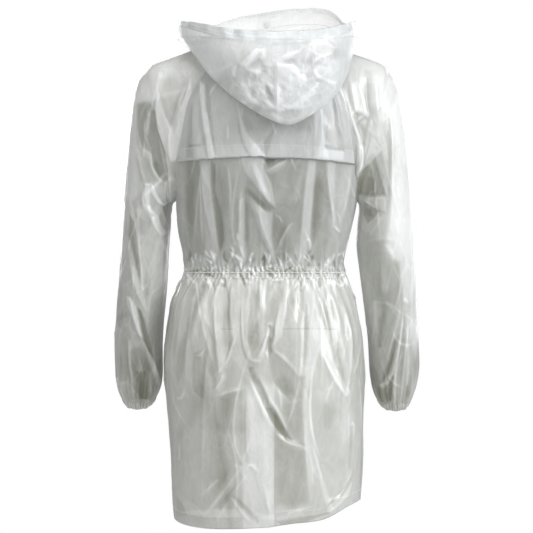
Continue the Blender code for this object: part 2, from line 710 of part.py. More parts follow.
def make_skirt(film, skins):
    """The skirt: two fronts, and two backs whose seam is open from the vent's top to the hem, with an
    underlap behind the opening."""
    vent = QUARTER_COLUMNS + VENT_COLUMN
    middle = QUARTER_COLUMNS
    for name, skin, columns in (
        ("skirt_back_right", "skirt_back", np.s_[: vent + 1]),
        ("skirt_back_left", "skirt_back", np.s_[vent:]),
        ("skirt_front_right", "skirt_front", np.s_[: middle + 1]),
        ("skirt_front_left", "skirt_front", np.s_[middle:]),
    ):
        grid, normals = skins[skin]
        add_panel(name, grid[:, columns], normals[:, columns], film, ("top", "first", "last"))
    window = np.s_[:UNDERLAP_ROWS, vent : vent + UNDERLAP_COLUMNS + 1]
    grid, normals = (points[window] for points in skins["skirt_back"])
    lap = pull_in(grid, "bottom", UNDERLAP_INSET) - normals * (WALL + LAP_GAP)
    add_panel("vent_underlap", lap, normals, film, ())


def make_waist_casing(sealed):
    """The casing round the waist, drawn in by its elastic. It is open at the centre front."""
    columns = WAVE_POINTS * CASING_WAVES
    rows = []
    for height in (WAIST - CASING_HEIGHT / 2, WAIST + CASING_HEIGHT / 2):
        back, front = body_row(height, "back"), body_row(height, "front")
        half = QUARTER_COLUMNS
        loop = np.concatenate([front[half::-1], back[1:], front[-2 : half - 1 : -1]])
        rows.append(evenly(loop, np.linspace(0.0004, 0.9996, columns + 1)))
    grid = np.array(rows)
    normals = level(grid_normals(grid))
    normals *= np.sign((normals[..., :2] * grid[..., :2]).sum())
    around = np.linspace(0.5, 1.5, columns + 1)
    wave = np.sin(2 * math.pi * CASING_WAVES * around) * (0.75 + 0.25 * np.sin(14 * math.pi * around))
    relief = gather_relief(around, np.full(columns + 1, WAIST)) + CASING_WAVE * wave * beside_placket(around)
    add_panel("waist_casing", grid + normals * relief[None, :, None], normals, sealed, ("bottom", "top"))


def make_sleeve_skin(rings, side, folds):
    """The points and normals of a sleeve with its folds. The side away from view has similar folds."""
    grid = sleeve_grid(rings, side)
    normals = tube_normals(grid)
    swapped = {key: -values if key in ("x0", "x1", "x2") else values for key, values in folds.items()}
    relief = fold_relief(grid, normals, folds, 1)
    relief += 0.8 * fold_relief(grid * [-1, 1, 1], normals, swapped, -1)
    share = np.linspace(0, 1, len(grid))[:, None]
    angle = np.linspace(0, 2 * math.pi, grid.shape[1], endpoint=False)
    relief = relief * smoothstep(0.0, 0.16, share) * smoothstep(1.0, 0.9, share)
    relief += 1.6 * np.sin(5 * angle) * smoothstep(0.86, 0.95, share)
    normals[-1] = square_to(sleeve_axis(grid), normals[-1])
    return grid + normals * relief[..., None], normals


def sleeve_axis(grid):
    """The direction of the sleeve's last ring, up the arm."""
    third = grid.shape[1] // 3
    axis = unit(np.cross(grid[-1, third] - grid[-1, 0], grid[-1, 2 * third] - grid[-1, 0]))
    return axis * np.sign(axis[2])


def square_to(axis, vectors):
    return unit(vectors - (vectors @ axis)[:, None] * axis)


def make_cuff(name, sleeve, sealed):
    """The narrow cuff at the end of a sleeve, which its elastic gathers."""
    axis = sleeve_axis(sleeve)
    angle = np.linspace(0, 2 * math.pi, WAVE_POINTS * CUFF_WAVES, endpoint=False)
    edge = evenly(np.concatenate([sleeve[-1], sleeve[-1, :1]]), angle / (2 * math.pi))
    normals = square_to(axis, edge - edge.mean(axis=0))
    edge = edge + normals * CUFF_WAVE * np.sin(CUFF_WAVES * angle)[:, None]
    cuff = np.array([edge - axis * CUFF_HEIGHT + normals * CUFF_FLARE, edge])
    add_panel(name, cuff, np.array([normals, normals]), sealed, ("top",), closed=True)


def covered_by_hood(skins, sleeves, flap):
    """The outside of the coat where the hood lies on it, as (points, faces)."""
    points, faces = [], []
    fan = FAN_ROWS + 1
    for grid, outside, closed in (
        (sleeves[1][0][:fan], sleeves[1][1][:fan], True),
        (sleeves[-1][0][:fan], sleeves[-1][1][:fan], True),
        (flap, skins["back"][1][-FLAP_ROWS:], False),
        (skins["front"][0][-FLAP_ROWS:], skins["front"][1][-FLAP_ROWS:], False),
    ):
        rows, columns = grid.shape[:2]
        first = sum(len(p) for p in points)
        turn = grid_normals(grid, closed)
        forward = (turn * outside).sum() > 0
        points.append(grid.reshape(-1, 3))
        for r in range(rows - 1):
            for c in range(columns if closed else columns - 1):
                a, b = r * columns + c, r * columns + (c + 1) % columns
                face = [first + i for i in (a, b, b + columns, a + columns)]
                faces.append(face if forward else face[::-1])
    return [tuple(p) for p in np.concatenate(points)], faces


def make_hood(film, sealed, covered):
    """The hood lies back over the shoulders as an open pouch: two halves joined by the centre seam, and
    the brim's casing round the face opening."""
    shares = np.concatenate([HOOD_ROWS, BRIM_ROWS[1:]])
    grid = hood_grid(shares, covered)
    normals = grid_normals(grid)
    middle = HOOD_COLUMNS
    if normals[-1, middle, 1] < 0:
        normals = -normals
    front = unit(normals[:, 0] + normals[:, -1])
    normals[:, 0] = normals[:, -1] = front
    behind = smoothstep(0.5, 0.58, shares)[:, None]
    relief = fold_relief(grid, normals, HOOD_FOLDS, 1) * behind * smoothstep(1.0, 0.9, shares)[:, None]
    grid = grid + normals * relief[..., None]
    normals[0] = level(normals[0])
    cut = len(HOOD_ROWS)
    for name, columns in (("hood_right", np.s_[: middle + 1]), ("hood_left", np.s_[middle:])):
        add_panel(name, grid[:cut, columns], normals[:cut, columns], film, ALL_EDGES)
    add_panel("hood_brim", grid[cut - 1 :], normals[cut - 1 :], sealed, ("bottom", "first", "last"))
    return grid, normals


def across_front(row, middle):
    """Points of the placket on one row of a panel, whose centre front is at this column."""
    across = np.linspace(-PLACKET_HALF, PLACKET_HALF, PLACKET_COLUMNS)
    near = row[middle]
    order = np.argsort(near[:, 0])
    return np.stack([across] + [np.interp(across, near[order, 0], near[order, k]) for k in (1, 2)], axis=1)


def front_strip(skins, hood):
    """Rows of points of the placket and their normals, from the hem to the chin."""
    near_middle = np.arange(QUARTER_COLUMNS - 4, QUARTER_COLUMNS + 5)
    hood_points, hood_normals = hood
    near_chin = np.array([-4, -3, -2, 0, 1, 2, 3])
    rows, normals = [], []
    for where in ("skirt_front", "front"):
        grid, grid_normal = skins[where]
        rows += [across_front(row, near_middle) for row in grid]
        normals += [normal[QUARTER_COLUMNS] for normal in grid_normal]
    rows += [across_front(row, near_chin) for row in hood_points[1:]]
    normals += [normal[0] for normal in hood_normals[1:]]
    normals = np.array(normals)
    normals[:, 0] = 0
    return np.array(rows), unit(normals)


def make_placket(sealed, plastic, skins, hood):
    """The placket over the front opening, from the hem to the chin, with its press studs."""
    grid, normals = front_strip(skins, hood)
    for edge in ("bottom", "top"):
        grid = pull_in(grid, edge, PLACKET_INSET)
    spread = np.repeat(normals[:, None], PLACKET_COLUMNS, axis=1)
    outer = grid + spread * (WALL + PLACKET_GAP)
    add_panel("front_placket", outer, spread, sealed, ())
    line = outer[:, PLACKET_COLUMNS // 2]
    for number, height in enumerate(SNAP_HEIGHTS, start=1):
        at = np.array([np.interp(height, line[:, 2], line[:, k]) for k in range(3)])
        out = unit(np.array([np.interp(height, line[:, 2], normals[:, k]) for k in range(3)]))
        make_snap(f"snap_{number}", at + out * LAP_GAP, out, plastic)


def make_snap(name, centre, out, plastic):
    """The cap of a press stud, a low round disc with a rounded edge."""
    across = np.array([1.0, 0, 0])
    up = np.cross(out, across)
    angle = np.linspace(0, 2 * math.pi, SNAP_SIDES, endpoint=False)
    ring = np.cos(angle)[:, None] * across + np.sin(angle)[:, None] * up
    points = np.concatenate(
        [centre + ring * SNAP_RADIUS, centre + out * SNAP_HEIGHT * 0.6 + ring * SNAP_RADIUS,
         centre + out * SNAP_HEIGHT + ring * SNAP_RADIUS * 0.7]
    )
    count = SNAP_SIDES
    faces = [tuple(range(count))[::-1]]
    for row in range(2):
        for c in range(count):
            a, b = row * count + c, row * count + (c + 1) % count
            faces.append((a, b, b + count, a + count))
    faces.append(tuple(range(2 * count, 3 * count)))
    if np.dot(np.cross(ring[0], ring[1]), out) < 0:
        faces = [face[::-1] for face in faces]
    add_mesh(name, points, faces, plastic)


def body_skins():
    """The grids of the back, the fronts and the skirt with their normals, folds and gathers."""
    skins = {}
    for upper in (True, False):
        names = ("back", "front") if upper else ("skirt_back", "skirt_front")
        grids = [upper_grid(w) if upper else skirt_grid(w) for w in ("back", "front")]
        normals = closed_normals(*grids)
        for name, where, grid, normal in zip(names, ("back", "front"), grids, normals):
            edges = (0, -1) if upper else (-1,)
            for row in edges:
                normal[row] = level(normal[row])
            relief = relief_of_body(grid, normal, where)
            if upper:
                relief[len(UPPER_ROWS) :, [0, -1]] = 0
            skins[name] = [grid + normal * relief[..., None], normal]
    return skins


def share_seam_normals(skins, sleeves):
    """Gives a body panel and the sleeve beside it the same normals along their raglan seam."""
    count = len(SEAM_SHARES)
    for side, (_, normals) in sleeves.items():
        edge = -1 if side > 0 else 0
        back = skins["back"][1][-count:, edge]
        front = skins["front"][1][-count:, edge]
        at_front = -np.arange(count)
        shared_back = unit(back + normals[0, :count])
        shared_front = unit(front + normals[0, at_front])
        shared_back[0] = shared_front[0] = unit(shared_back[0] + shared_front[0])
        skins["back"][1][-count:, edge] = shared_back
        skins["front"][1][-count:, edge] = shared_front
        normals[0, :count] = shared_back
        normals[0, at_front] = shared_front
        top = slice(count - 1, count + NECK_COLUMNS)
        normals[0, top] = level(normals[0, top])


def main():
    for old in list(bpy.data.objects):
        bpy.data.objects.remove(old)
    film = material("film", FILM, 0.35)
    sealed = material("sealed_film", SEALED, 0.4)
    plastic = material("snap_plastic", SNAP_PLASTIC, 0.3)
    skins = body_skins()
    sleeves = {
        1: make_sleeve_skin(SLEEVE_LEFT, 1, SLEEVE_LEFT_FOLDS),
        -1: make_sleeve_skin(SLEEVE_RIGHT, -1, SLEEVE_RIGHT_FOLDS),
    }
    share_seam_normals(skins, sleeves)
    for side, name in ((1, "left"), (-1, "right")):
        add_panel("sleeve_" + name, *sleeves[side], film, ("bottom", "top"), closed=True)
        make_cuff("cuff_" + name, sleeves[side][0], sealed)
    make_upper_body(film, skins)
    flap = make_storm_flap(film, skins)
    make_skirt(film, skins)
    make_waist_casing(sealed)
    hood = make_hood(film, sealed, covered_by_hood(skins, sleeves, flap))
    make_placket(sealed, plastic, skins, hood)


main()
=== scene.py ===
"""A hooded raincoat of frosted translucent film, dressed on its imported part.

The coat is filled out as when it is worn: +Z is up, its front faces -Y and the wearer's left is +X.
Sizes are in millimetres, and each mesh is turned into metres as it is made.
"""

import math

import bpy
import numpy as np
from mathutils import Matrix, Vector
from mathutils.bvhtree import BVHTree


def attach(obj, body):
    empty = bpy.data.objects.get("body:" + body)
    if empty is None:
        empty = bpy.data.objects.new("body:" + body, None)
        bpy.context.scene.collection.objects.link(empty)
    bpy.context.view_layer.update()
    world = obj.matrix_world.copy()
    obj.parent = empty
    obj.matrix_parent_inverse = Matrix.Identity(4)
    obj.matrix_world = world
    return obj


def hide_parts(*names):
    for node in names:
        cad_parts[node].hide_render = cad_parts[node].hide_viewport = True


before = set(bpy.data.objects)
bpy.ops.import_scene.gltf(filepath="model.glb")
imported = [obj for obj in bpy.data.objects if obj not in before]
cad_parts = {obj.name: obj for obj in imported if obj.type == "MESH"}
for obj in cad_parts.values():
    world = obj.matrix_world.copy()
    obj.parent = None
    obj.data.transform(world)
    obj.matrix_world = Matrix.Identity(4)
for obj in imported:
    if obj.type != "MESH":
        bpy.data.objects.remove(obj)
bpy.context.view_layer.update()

# ---------------------------------------------------------------- back and fronts
# The back and the two fronts are cut from film about 0.2 mm thick and sewn at the side seams and along
# the slanting raglan seams. They hang full, are gathered into the waist casing, and hold their creases.

FILM_ROW = 2.0  # the spacing that the film's points aim at
QUARTER_COLUMNS = 112  # columns of points from the centre back or front to the side seam
UNDERARM = -291.0
WAIST = -427.0  # the middle of the waist casing
CASING_HEIGHT = 17.0
CASING_CALM = 26.0  # how far above and below the casing its seams hold the larger folds flat
PLACKET_CALM = (18, 40)  # how far from the centre front the placket holds them flat, wholly and at all
SEAM_ALLOWANCE = 0.12  # how much paler the film is over the seams' allowances


def rows_of(text):
    """Rows of numbers from text, with a semicolon between one row and the next."""
    return [[float(number) for number in row.split()] for row in text.split(";")]


def table(columns, text):
    """A table as {column: its numbers}. Numbers left out at the end of a row are 0."""
    names = columns.split()
    rows = [row + [0.0] * (len(names) - len(row)) for row in rows_of(text)]
    return dict(zip(names, np.array(rows).T))


def through(x, y, at):
    """Values at `at` on a smooth curve through the points (x, y), with x rising."""
    x = np.asarray(x, float)
    y = np.asarray(y, float)
    at = np.clip(np.atleast_1d(np.asarray(at, float)), x[0], x[-1])
    spread = [1] * (y.ndim - 1)
    run = np.diff(x).reshape(-1, *spread)
    slope = np.diff(y, axis=0) / run
    inner = (slope[:-1] * run[1:] + slope[1:] * run[:-1]) / (run[1:] + run[:-1])
    tangent = np.concatenate([slope[:1], inner, slope[-1:]])
    i = np.clip(np.searchsorted(x, at, side="right") - 1, 0, len(x) - 2)
    t = ((at - x[i]) / (x[i + 1] - x[i])).reshape(-1, *spread)
    h = run[i]
    return (
        (1 + 2 * t) * (1 - t) ** 2 * y[i]
        + t * (1 - t) ** 2 * h * tangent[i]
        + t**2 * (3 - 2 * t) * y[i + 1]
        - t**2 * (1 - t) * h * tangent[i + 1]
    )


def length_along(points):
    """How far along a line each of its points is."""
    return np.concatenate([[0], np.cumsum(np.linalg.norm(np.diff(points, axis=0), axis=1))])


def between(at, x, points):
    """Points at `at` on the straight runs through (x, points)."""
    return np.stack([np.interp(at, x, column) for column in points.T], axis=-1)


def evenly(points, shares):
    """Points at these shares of the length of a line of points."""
    length = length_along(points)
    return between(np.asarray(shares) * length[-1], length, points)


def smoothstep(low, high, value):
    """0 on low's side, 1 on high's side, and a smooth rise between the two."""
    t = np.clip((value - low) / (high - low), 0, 1)
    return t * t * (3 - 2 * t)


def hump(value, width):
    """1 at 0, falling off smoothly to both sides."""
    return np.exp(-((value / width) ** 2))


def unit(vectors):
    """The same vectors, made 1 long."""
    return vectors / np.maximum(np.linalg.norm(vectors, axis=-1, keepdims=True), 1e-9)


def grid_normals(grid, closed=False):
    """The normal at each point of a grid of rows (up) and columns (across), from the faces round it."""
    wide = np.concatenate([grid, grid[:, :1]], axis=1) if closed else grid
    face = unit(np.cross(wide[1:, 1:] - wide[:-1, :-1], wide[1:, :-1] - wide[:-1, 1:]))
    face = np.concatenate([face[:1], face, face[-1:]])
    if closed:
        face = np.concatenate([face[:, -1:], face], axis=1)
    else:
        face = np.concatenate([face[:, :1], face, face[:, -1:]], axis=1)
    return unit(face[1:, 1:] + face[1:, :-1] + face[:-1, 1:] + face[:-1, :-1])


def level(normals):
    """The same normals laid level, for the edges of a level seam."""
    flat = normals.copy()
    flat[..., 2] = 0
    return unit(flat)


# Level sections of the body, from the hem up: half widths to the wearer's left and right, and depths.
BODY = table("height left right back front", """
-930 174 175 151 142;
-893 175 176 151 141;
-785 181 183 149 139;
-724 184 183 148 138;
-663 189 185 147 136;
-617 194 186 144 134;
-572 194 183 139 131;
-541 189 180 134 128;
-511 185 174 127 123;
-481 180 167 118 117;
-450 166 157 106 110;
-427 155 148 100 106;
-408 155 146 100 107;
-389 158 150 102 110;
-359 166 158 107 118;
-329 171 165 113 129;
-291 172 172 121 138;
-225 172 172 130 140;
-150 172 172 133 130;
-100 172 172 128 114;
-60 172 172 117 98;
-30 172 172 103 84;
0 172 172 76 74
""")
BODY_SQUARE = 2.35  # the sections' roundness: 2 is an ellipse
WAY = {"back": 1, "front": -1}  # which way along Y each side of the coat faces

# The raglan seam on the wearer's left, from the underarm to the neck, on the back and on the front, and
# the height at the middle of the back's and the front's row of points that ends there.
RAGLAN = table("share back_x back_y back_z back_middle front_x front_y front_z front_middle", """
0.00 172 0 -291 -291 172 0 -291 -291;
0.09 171 34 -285 -270 170 -36 -285 -268;
0.18 169 58 -264 -244 165 -62 -264 -242;
0.29 165 78 -223 -216 157 -85 -225 -212;
0.40 160 89 -186 -180 149 -97 -187 -182;
0.52 152 97 -143 -142 142 -104 -144 -150;
0.64 141 98 -102 -104 132 -102 -106 -122;
0.76 121 90 -66 -68 114 -90 -73 -95;
0.88 94 73 -30 -32 88 -70 -46 -70;
1.00 63 52 2 4 58 -50 -22 -48
""")
RAGLAN_STEPS = 84  # rows along the raglan seam
TABLE_STEPS = len(RAGLAN["share"]) - 1
SEAM_SHARES = np.interp(
    np.linspace(0, TABLE_STEPS, RAGLAN_STEPS + 1), np.arange(TABLE_STEPS + 1), RAGLAN["share"]
)

# Creases and soft folds: a curve through three points, how high it stands (or how deep it lies, below 0),
# how far it spreads to its two sides, how sharp its crest is, from 0 to 1, and how far it leans over its
# narrower side.
FOLD_COLUMNS = "x0 z0 x1 z1 x2 z2 height left right crest lean"


def folds_of(text):
    """A table of folds, one to each row."""
    return table(FOLD_COLUMNS, text)


# What shows from behind is charted: in steps across, from the wearer's left to the right, and in steps
# down. Steps are smaller on what stands nearer to a viewer behind the coat, and larger further off.
CHART_MIDDLE = 265.5  # steps across to the coat's middle
CHART_LEVEL, LEVEL_HEIGHT = 266, -416  # steps down to a level, and the height of that level
BACK_STEP = 1.84
SOFT_EDGE = 4  # patches with edges this soft, in steps, are broad tones and not crease lines


def charted(across, down, step):
    """Charted places as x and z, in whole millimetres."""
    return np.round((CHART_MIDDLE - across) * step), np.round(LEVEL_HEIGHT + (CHART_LEVEL - down) * step)


def charted_folds(step, text):
    """A table of folds whose places and spreads are charted. Their heights are in millimetres."""
    folds = folds_of(text)
    for end in "012":
        folds["x" + end], folds["z" + end] = charted(folds["x" + end], folds["z" + end], step)
    for spread in ("left", "right"):
        folds[spread] = np.round(folds[spread] * step)
    return folds


def charted_laps_and_painted_light(step, tone, high, text):
    """Patches whose places and soft edges are charted, each as how much paler the film looks there (below
    0, darker), how high it stands, how soft its edge is, and its corners. The paleness is painted
    highlight and painted shade where a patch stands for lit facets and shadows, and the film's own where
    it lies doubled.
    Those with sharp edges show by the shares tone and high."""
    laps_and_painted_light = []
    for paler, rise, soft, *corners in rows_of(text):
        if soft < SOFT_EDGE:
            paler, rise = paler * tone, rise * high
        places = np.stack(charted(np.array(corners[::2]), np.array(corners[1::2]), step), axis=-1)
        laps_and_painted_light.append([round(paler, 2), round(rise, 1), float(f"{soft * step:.2g}"), *places.ravel()])
    return laps_and_painted_light


BACK_FOLDS = charted_folds(BACK_STEP, """
200 86 203 118 208 158 6 5 5 0.4;
240 112 248 138 258 160 6 8 9 0.3;
321 112 318 138 313 160 5 5 8 0.5;
323 126 324 134 326 143 -4 3 5 0.5;
331 88 337 118 343 152 5 5 5 0.6;
201 156 204 200 215 252 6 4 12 0.5;
214 195 217 225 219 256 -6 4 7 0.6;
200 158 200 205 201 252 3 6 4 0.8;
190 163 188 200 190 246 -4 8 8;
250 156 259 184 271 206 7 14 6 0.4;
240 182 255 199 271 210 -4 9 5 0.6;
252 198 262 226 271 254 8 9 8 0.4;
243 190 244 222 246 262 -5 5 6 0.5;
240 184 239 214 237 244 4 7 5 0.4;
264 174 275 166 287 160 5 8 4 0.7;
262 163 268 160 281 158 -5 4 4 0.4;
279 180 284 186 291 184 2 6 6 0.2;
309 156 303 200 300 247 6 6 9 0.3;
317 162 315 205 311 250 -6 6 10 0.2;
325 158 329 196 335 228 6 5 5 0.6;
350 160 346 196 338 226 5 6 6 0.4;
333 224 337 229 341 232 3 4 4 0.8;
293 222 284 232 273 258 6 3 6 0.9;
300 226 308 240 309 258 3 5 6 0.5;
302 243 308 239 310 250 3 3 3 0.9;
238 232 236 236 238 241 3 3 3 0.9;
203 247 206 254 215 258 4 4 4 0.9;
216 252 212 258 208 268 4 4 4 0.9;
238 242 241 252 245 262 4 4 4 0.9;
262 248 266 258 271 264 4 4 4 0.9;
183 224 186 240 184 258 3 5 6 0.3;
341 236 337 248 340 260 3 5 6 0.3
""")
FRONT_FOLDS = folds_of("""
95 -150 88 -260 70 -390 7 12 10 0.4;
120 -250 112 -320 100 -395 -6 12 12 0.2;
74 -190 52 -260 30 -330 6 14 7 0.5;
-90 -160 -84 -270 -64 -392 7 10 12 0.5;
-125 -230 -112 -310 -98 -396 -6 12 12 0.2;
-60 -200 -44 -250 -30 -310 6 8 14 0.6;
48 -300 44 -350 34 -400 6 9 9 0.5;
-52 -290 -46 -350 -38 -402 6 9 9 0.5;
110 -170 128 -220 132 -280 5 9 9 0.6;
-112 -165 -130 -220 -134 -282 5 9 9 0.6;
140 -300 132 -340 118 -385 4 8 8 0.6;
-142 -300 -136 -345 -124 -388 4 8 8 0.6
""")

FOLD_HEIGHT = 0.58  # how much of a fold's height shows
CREASE_WIDTH = 1.9  # of the painted highlight along a sharp crest

# Patches on the back: painted highlights on lit facets and painted shade, with the film raised and sunk;
# the last is the painted shadow under the flap's hem.
BACK_LAPS_AND_PAINTED_LIGHT = charted_laps_and_painted_light(BACK_STEP, 0.8, 0.9, """
0.45 1.5 1.5 240 157 262 157 263 170 270 184 274 207 268 203 260 193 251 181 243 172;
0.35 1 1.5 249 195 256 204 264 211 272 212 270 235 273 258 266 248 261 238 255 220 250 205;
-0.2 -1 2 243 181 252 181 258 190 264 198 273 208 266 212 258 207 252 199 246 192;
-0.25 0 3 264 160 290 158 300 165 296 185 285 205 275 208 271 190 265 176;
0.3 1 1 263 171 275 163 288 158 283 165 270 174;
-0.3 0 5 276 205 300 200 298 240 285 262 275 262 272 235;
0.3 1.5 1.5 306 158 315 158 312 200 309 235 302 262 297 262 300 225 302 190;
-0.35 -1 3 315 162 324 162 329 200 330 235 322 262 310 262 311 225 314 190;
0.35 1 1.5 326 158 334 160 334 205 338 230 332 226 329 200;
0.15 0.5 1.5 336 190 345 165 353 165 348 205 341 232 337 215;
-0.35 -1 3 184 150 200 158 201 205 203 250 190 262 184 262 182 200;
0.15 0.5 1.2 200 158 205 158 210 190 216 230 218 250 212 262 205 255 202 205;
-0.55 -2 1.2 209 158 214 165 214 190 221 222 222 240 218 250 214 225 210 195;
-0.15 0 4 214 158 238 158 242 180 238 200 236 262 222 262 221 222 215 190;
0.3 1 1.2 238 200 244 196 243 235 241 262 235 262 237 235;
-0.2 0 2 245 200 250 204 258 235 264 262 246 262;
-0.4 -1 1.5 263 157 288 157 280 163 267 168
""")


def bend_through(start, middle, end, steps=30):
    """Points of a smooth bend from the first point through the second to the third."""
    start, middle, end = (np.array(point) for point in (start, middle, end))
    t = np.linspace(0, 1, steps + 1)[:, None]
    return start * (1 - t) ** 2 + (2 * middle - (start + end) / 2) * 2 * t * (1 - t) + end * t**2


def fold_relief(flat, folds):
    """What folds do at these flat places: (height, push across each fold, whiteness: a painted highlight
    along a sharp crest, with the whitening of creased film, and painted shade along a trough).
    """
    shape = flat.shape[:-1]
    height, push, white = np.zeros(shape), np.zeros(flat.shape), np.zeros(shape)
    for *ends, high, left, right, crest, lean in zip(*folds.values()):
        line = bend_through(ends[:2], ends[2:4], ends[4:])
        widest = max(left, right)
        near = ((flat > line.min(axis=0) - widest) & (flat < line.max(axis=0) + widest)).all(axis=-1)
        if not near.any():
            continue
        away = flat[near][:, None, :] - line
        nearest = np.linalg.norm(away, axis=-1).argmin(axis=-1)
        step = np.gradient(line, axis=0)[nearest]
        long = np.linalg.norm(step, axis=-1)
        way = step / long[:, None]
        offset = away[np.arange(len(nearest)), nearest]
        across = way[:, 0] * offset[:, 1] - way[:, 1] * offset[:, 0]
        along = np.clip((nearest + (way * offset).sum(axis=-1) / long) / (len(line) - 1), 0, 1)
        fade = smoothstep(0, 0.35, along) * smoothstep(1, 0.65, along)
        width = np.where(across > 0, left, right) * (0.45 + 0.55 * fade)
        reach = np.clip(np.abs(across) / width, 0, 1)
        soft = (1 - reach) ** 2 * (1 + 2 * reach)
        sharp = (1 - reach) ** 2
        rise = FOLD_HEIGHT * high * fade * (soft * (1 - crest) + sharp * crest)
        height[near] += rise
        steep = 1 if left < right else -1
        tip = np.stack([-way[:, 1], way[:, 0]], axis=1) * steep
        push[near] += tip * (lean * np.abs(rise))[:, None]
        # painted highlight along each sharp crest, and painted shade along each trough
        if high > 0:
            white[near] += min(1, high) * fade * 0.7 * crest * hump(across, CREASE_WIDTH)
        else:
            white[near] -= min(1, -high / 3) * fade * 0.4 * soft
    return height, push, white


def lapped_and_painted_light(flat, laps_and_painted_light):
    """What the patches do: (height, paleness). They raise or sink the film and change its paleness, where
    it lies doubled or clings to what is inside, and as painted highlights and painted shadows, such as the
    shadows under the flap and under the hood.
    """
    height, pale = np.zeros(flat.shape[:-1]), np.zeros(flat.shape[:-1])
    for tone, high, soft, *corners in laps_and_painted_light:
        start = np.array(corners, float).reshape(-1, 2)
        side = np.roll(start, -1, axis=0) - start
        near = ((flat > start.min(axis=0) - soft) & (flat < start.max(axis=0) + soft)).all(axis=-1)
        away = flat[near][:, None, :] - start
        along = np.clip((away * side).sum(axis=-1) / (side**2).sum(axis=-1), 0, 1)
        gap = np.linalg.norm(away - along[..., None] * side, axis=-1).min(axis=-1)
        rising = np.where(side[:, 1] == 0, 1e-9, side[:, 1])
        level_with = (away[..., 1] >= 0) != (away[..., 1] - side[:, 1] >= 0)
        crossed = level_with & (away[..., 0] < away[..., 1] / rising * side[:, 0])
        inside = crossed.sum(axis=-1) % 2 == 1
        part = smoothstep(-soft, soft, np.where(inside, gap, -gap))
        height[near] += high * part
        pale[near] += tone * part
    return height, pale


def scattered(seed, count, box, slant, length, height, width=(3.5, 9), spread=24):
    """Creases at random places in a box of x and z. slant is their usual angle from upright."""
    draw = np.random.default_rng(seed)
    x_low, z_low, x_high, z_high = box
    rows = []
    for _ in range(count):
        x, z = draw.uniform(x_low, x_high), draw.uniform(z_low, z_high)
        angle = math.radians(slant + draw.normal(0, spread))
        long = draw.uniform(*length)
        run, rise = math.sin(angle) * long, math.cos(angle) * long
        bend = draw.normal(0, 0.12, 2) * long
        wide = draw.uniform(*width)
        high = draw.uniform(*height) * draw.choice([1, 1, -0.8])
        rows.append((x - run / 2, z + rise / 2, x + bend[0], z + bend[1], x + run / 2, z - rise / 2,
                     high, wide, wide * draw.uniform(0.6, 1.4), draw.uniform(0.2, 0.9), 0))
    return dict(zip(FOLD_COLUMNS.split(), np.array(rows).T))


def crumpled(flat, seed, box, apart, high, stretch=1.0):
    """Facets pressed into the film inside an oval that fills the box, about this far apart.
    Gives how high their edges stand, and a painted highlight along their edges."""
    draw = np.random.default_rng(seed)
    x_low, z_low, x_high, z_high = box
    count = max(4, int((x_high - x_low) * (z_high - z_low) / apart**2 / stretch))
    sites = draw.uniform((x_low, z_low), (x_high, z_high), (count, 2)) * [1, 1 / stretch]
    middle = np.array([x_low + x_high, z_low + z_high]) / 2
    half = np.array([x_high - x_low, z_high - z_low]) / 2
    oval = np.linalg.norm((flat - middle) / half, axis=-1)
    near = oval < 1
    height, white = np.zeros(flat.shape[:-1]), np.zeros(flat.shape[:-1])
    if near.any():
        away = np.linalg.norm(flat[near][:, None, :] * [1, 1 / stretch] - sites, axis=-1)
        first, second = np.partition(away, 1, axis=-1)[:, :2].T
        fade = smoothstep(1.0, 0.55, oval[near])
        height[near] = high * fade * (np.minimum(first / apart, 1.0) - 0.4)
        # painted highlight along each facet's edge
        white[near] = 0.35 * fade * hump(second - first, 2.4)
    return height, white


# The gathers round the whole waist: where each one is, how high and wide it stands, how far it runs up
# and down from the casing, and how far it drifts aside.
GATHERS = 92
GATHER_DRAW = np.random.default_rng(7)
GATHER_PLACE = (np.arange(GATHERS) + GATHER_DRAW.uniform(-0.32, 0.32, GATHERS)) / GATHERS
GATHER_HEIGHT = GATHER_DRAW.uniform(1.0, 4.2, GATHERS)
GATHER_WIDTH = GATHER_DRAW.uniform(2.2, 4.2, GATHERS)
GATHER_UP = GATHER_DRAW.uniform(7, 20, GATHERS) * GATHER_DRAW.choice([1, 1, 2], GATHERS)
GATHER_DOWN = GATHER_DRAW.uniform(8, 34, GATHERS) * GATHER_DRAW.choice([1, 1, 3], GATHERS)
GATHER_DRIFT = GATHER_DRAW.normal(0, 0.3, GATHERS)
WAIST_ROUND = 810.0  # about how far round the casing is


def gathers(around, height):
    """How far out the waist's gathers stand, and a painted highlight along their crests."""
    away = np.maximum(np.abs(height - WAIST) - CASING_HEIGHT / 2, 0)
    total, white = np.zeros(np.shape(away)), np.zeros(np.shape(away))
    for i in range(GATHERS):
        reach = np.where(height > WAIST, GATHER_UP[i], GATHER_DOWN[i])
        off = (around - GATHER_PLACE[i] + 0.5) % 1 - 0.5
        off = off * WAIST_ROUND - GATHER_DRIFT[i] * away
        wide = GATHER_WIDTH[i] * (1 + away / 32)
        bump = np.exp(-np.abs(off / wide) ** 1.5) * np.exp(-away / reach)
        total += GATHER_HEIGHT[i] * (bump - 1.8 * wide / WAIST_ROUND * np.exp(-away / reach))
        # painted highlight along each gather's crest
        white += 0.5 * np.exp(-((off / 2) ** 2) - away / reach)
    return total * beside_placket(around), white


PINCHED = (-165, WAIST - 24, 165, WAIST + 32)
PINCHES = scattered(17, 110, PINCHED, 0, (14, 38), (2.0, 5.0), (2.6, 5.5), 34)


def pinches(grid, normals):
    """How far out the short puckers beside the waist's stitching stand, and a painted highlight along
    their crests.
    """
    high, _, pale = fold_relief(grid[..., [0, 2]], PINCHES)
    shown = smoothstep(0.05, 0.4, np.abs(normals[..., 1])) * smoothstep(18, 30, np.abs(grid[..., 0]))
    shown = np.where(grid[..., 1] > 30, smoothstep(0.05, 0.4, normals[..., 1]), shown)
    return high * shown, 1.5 * pale * shown


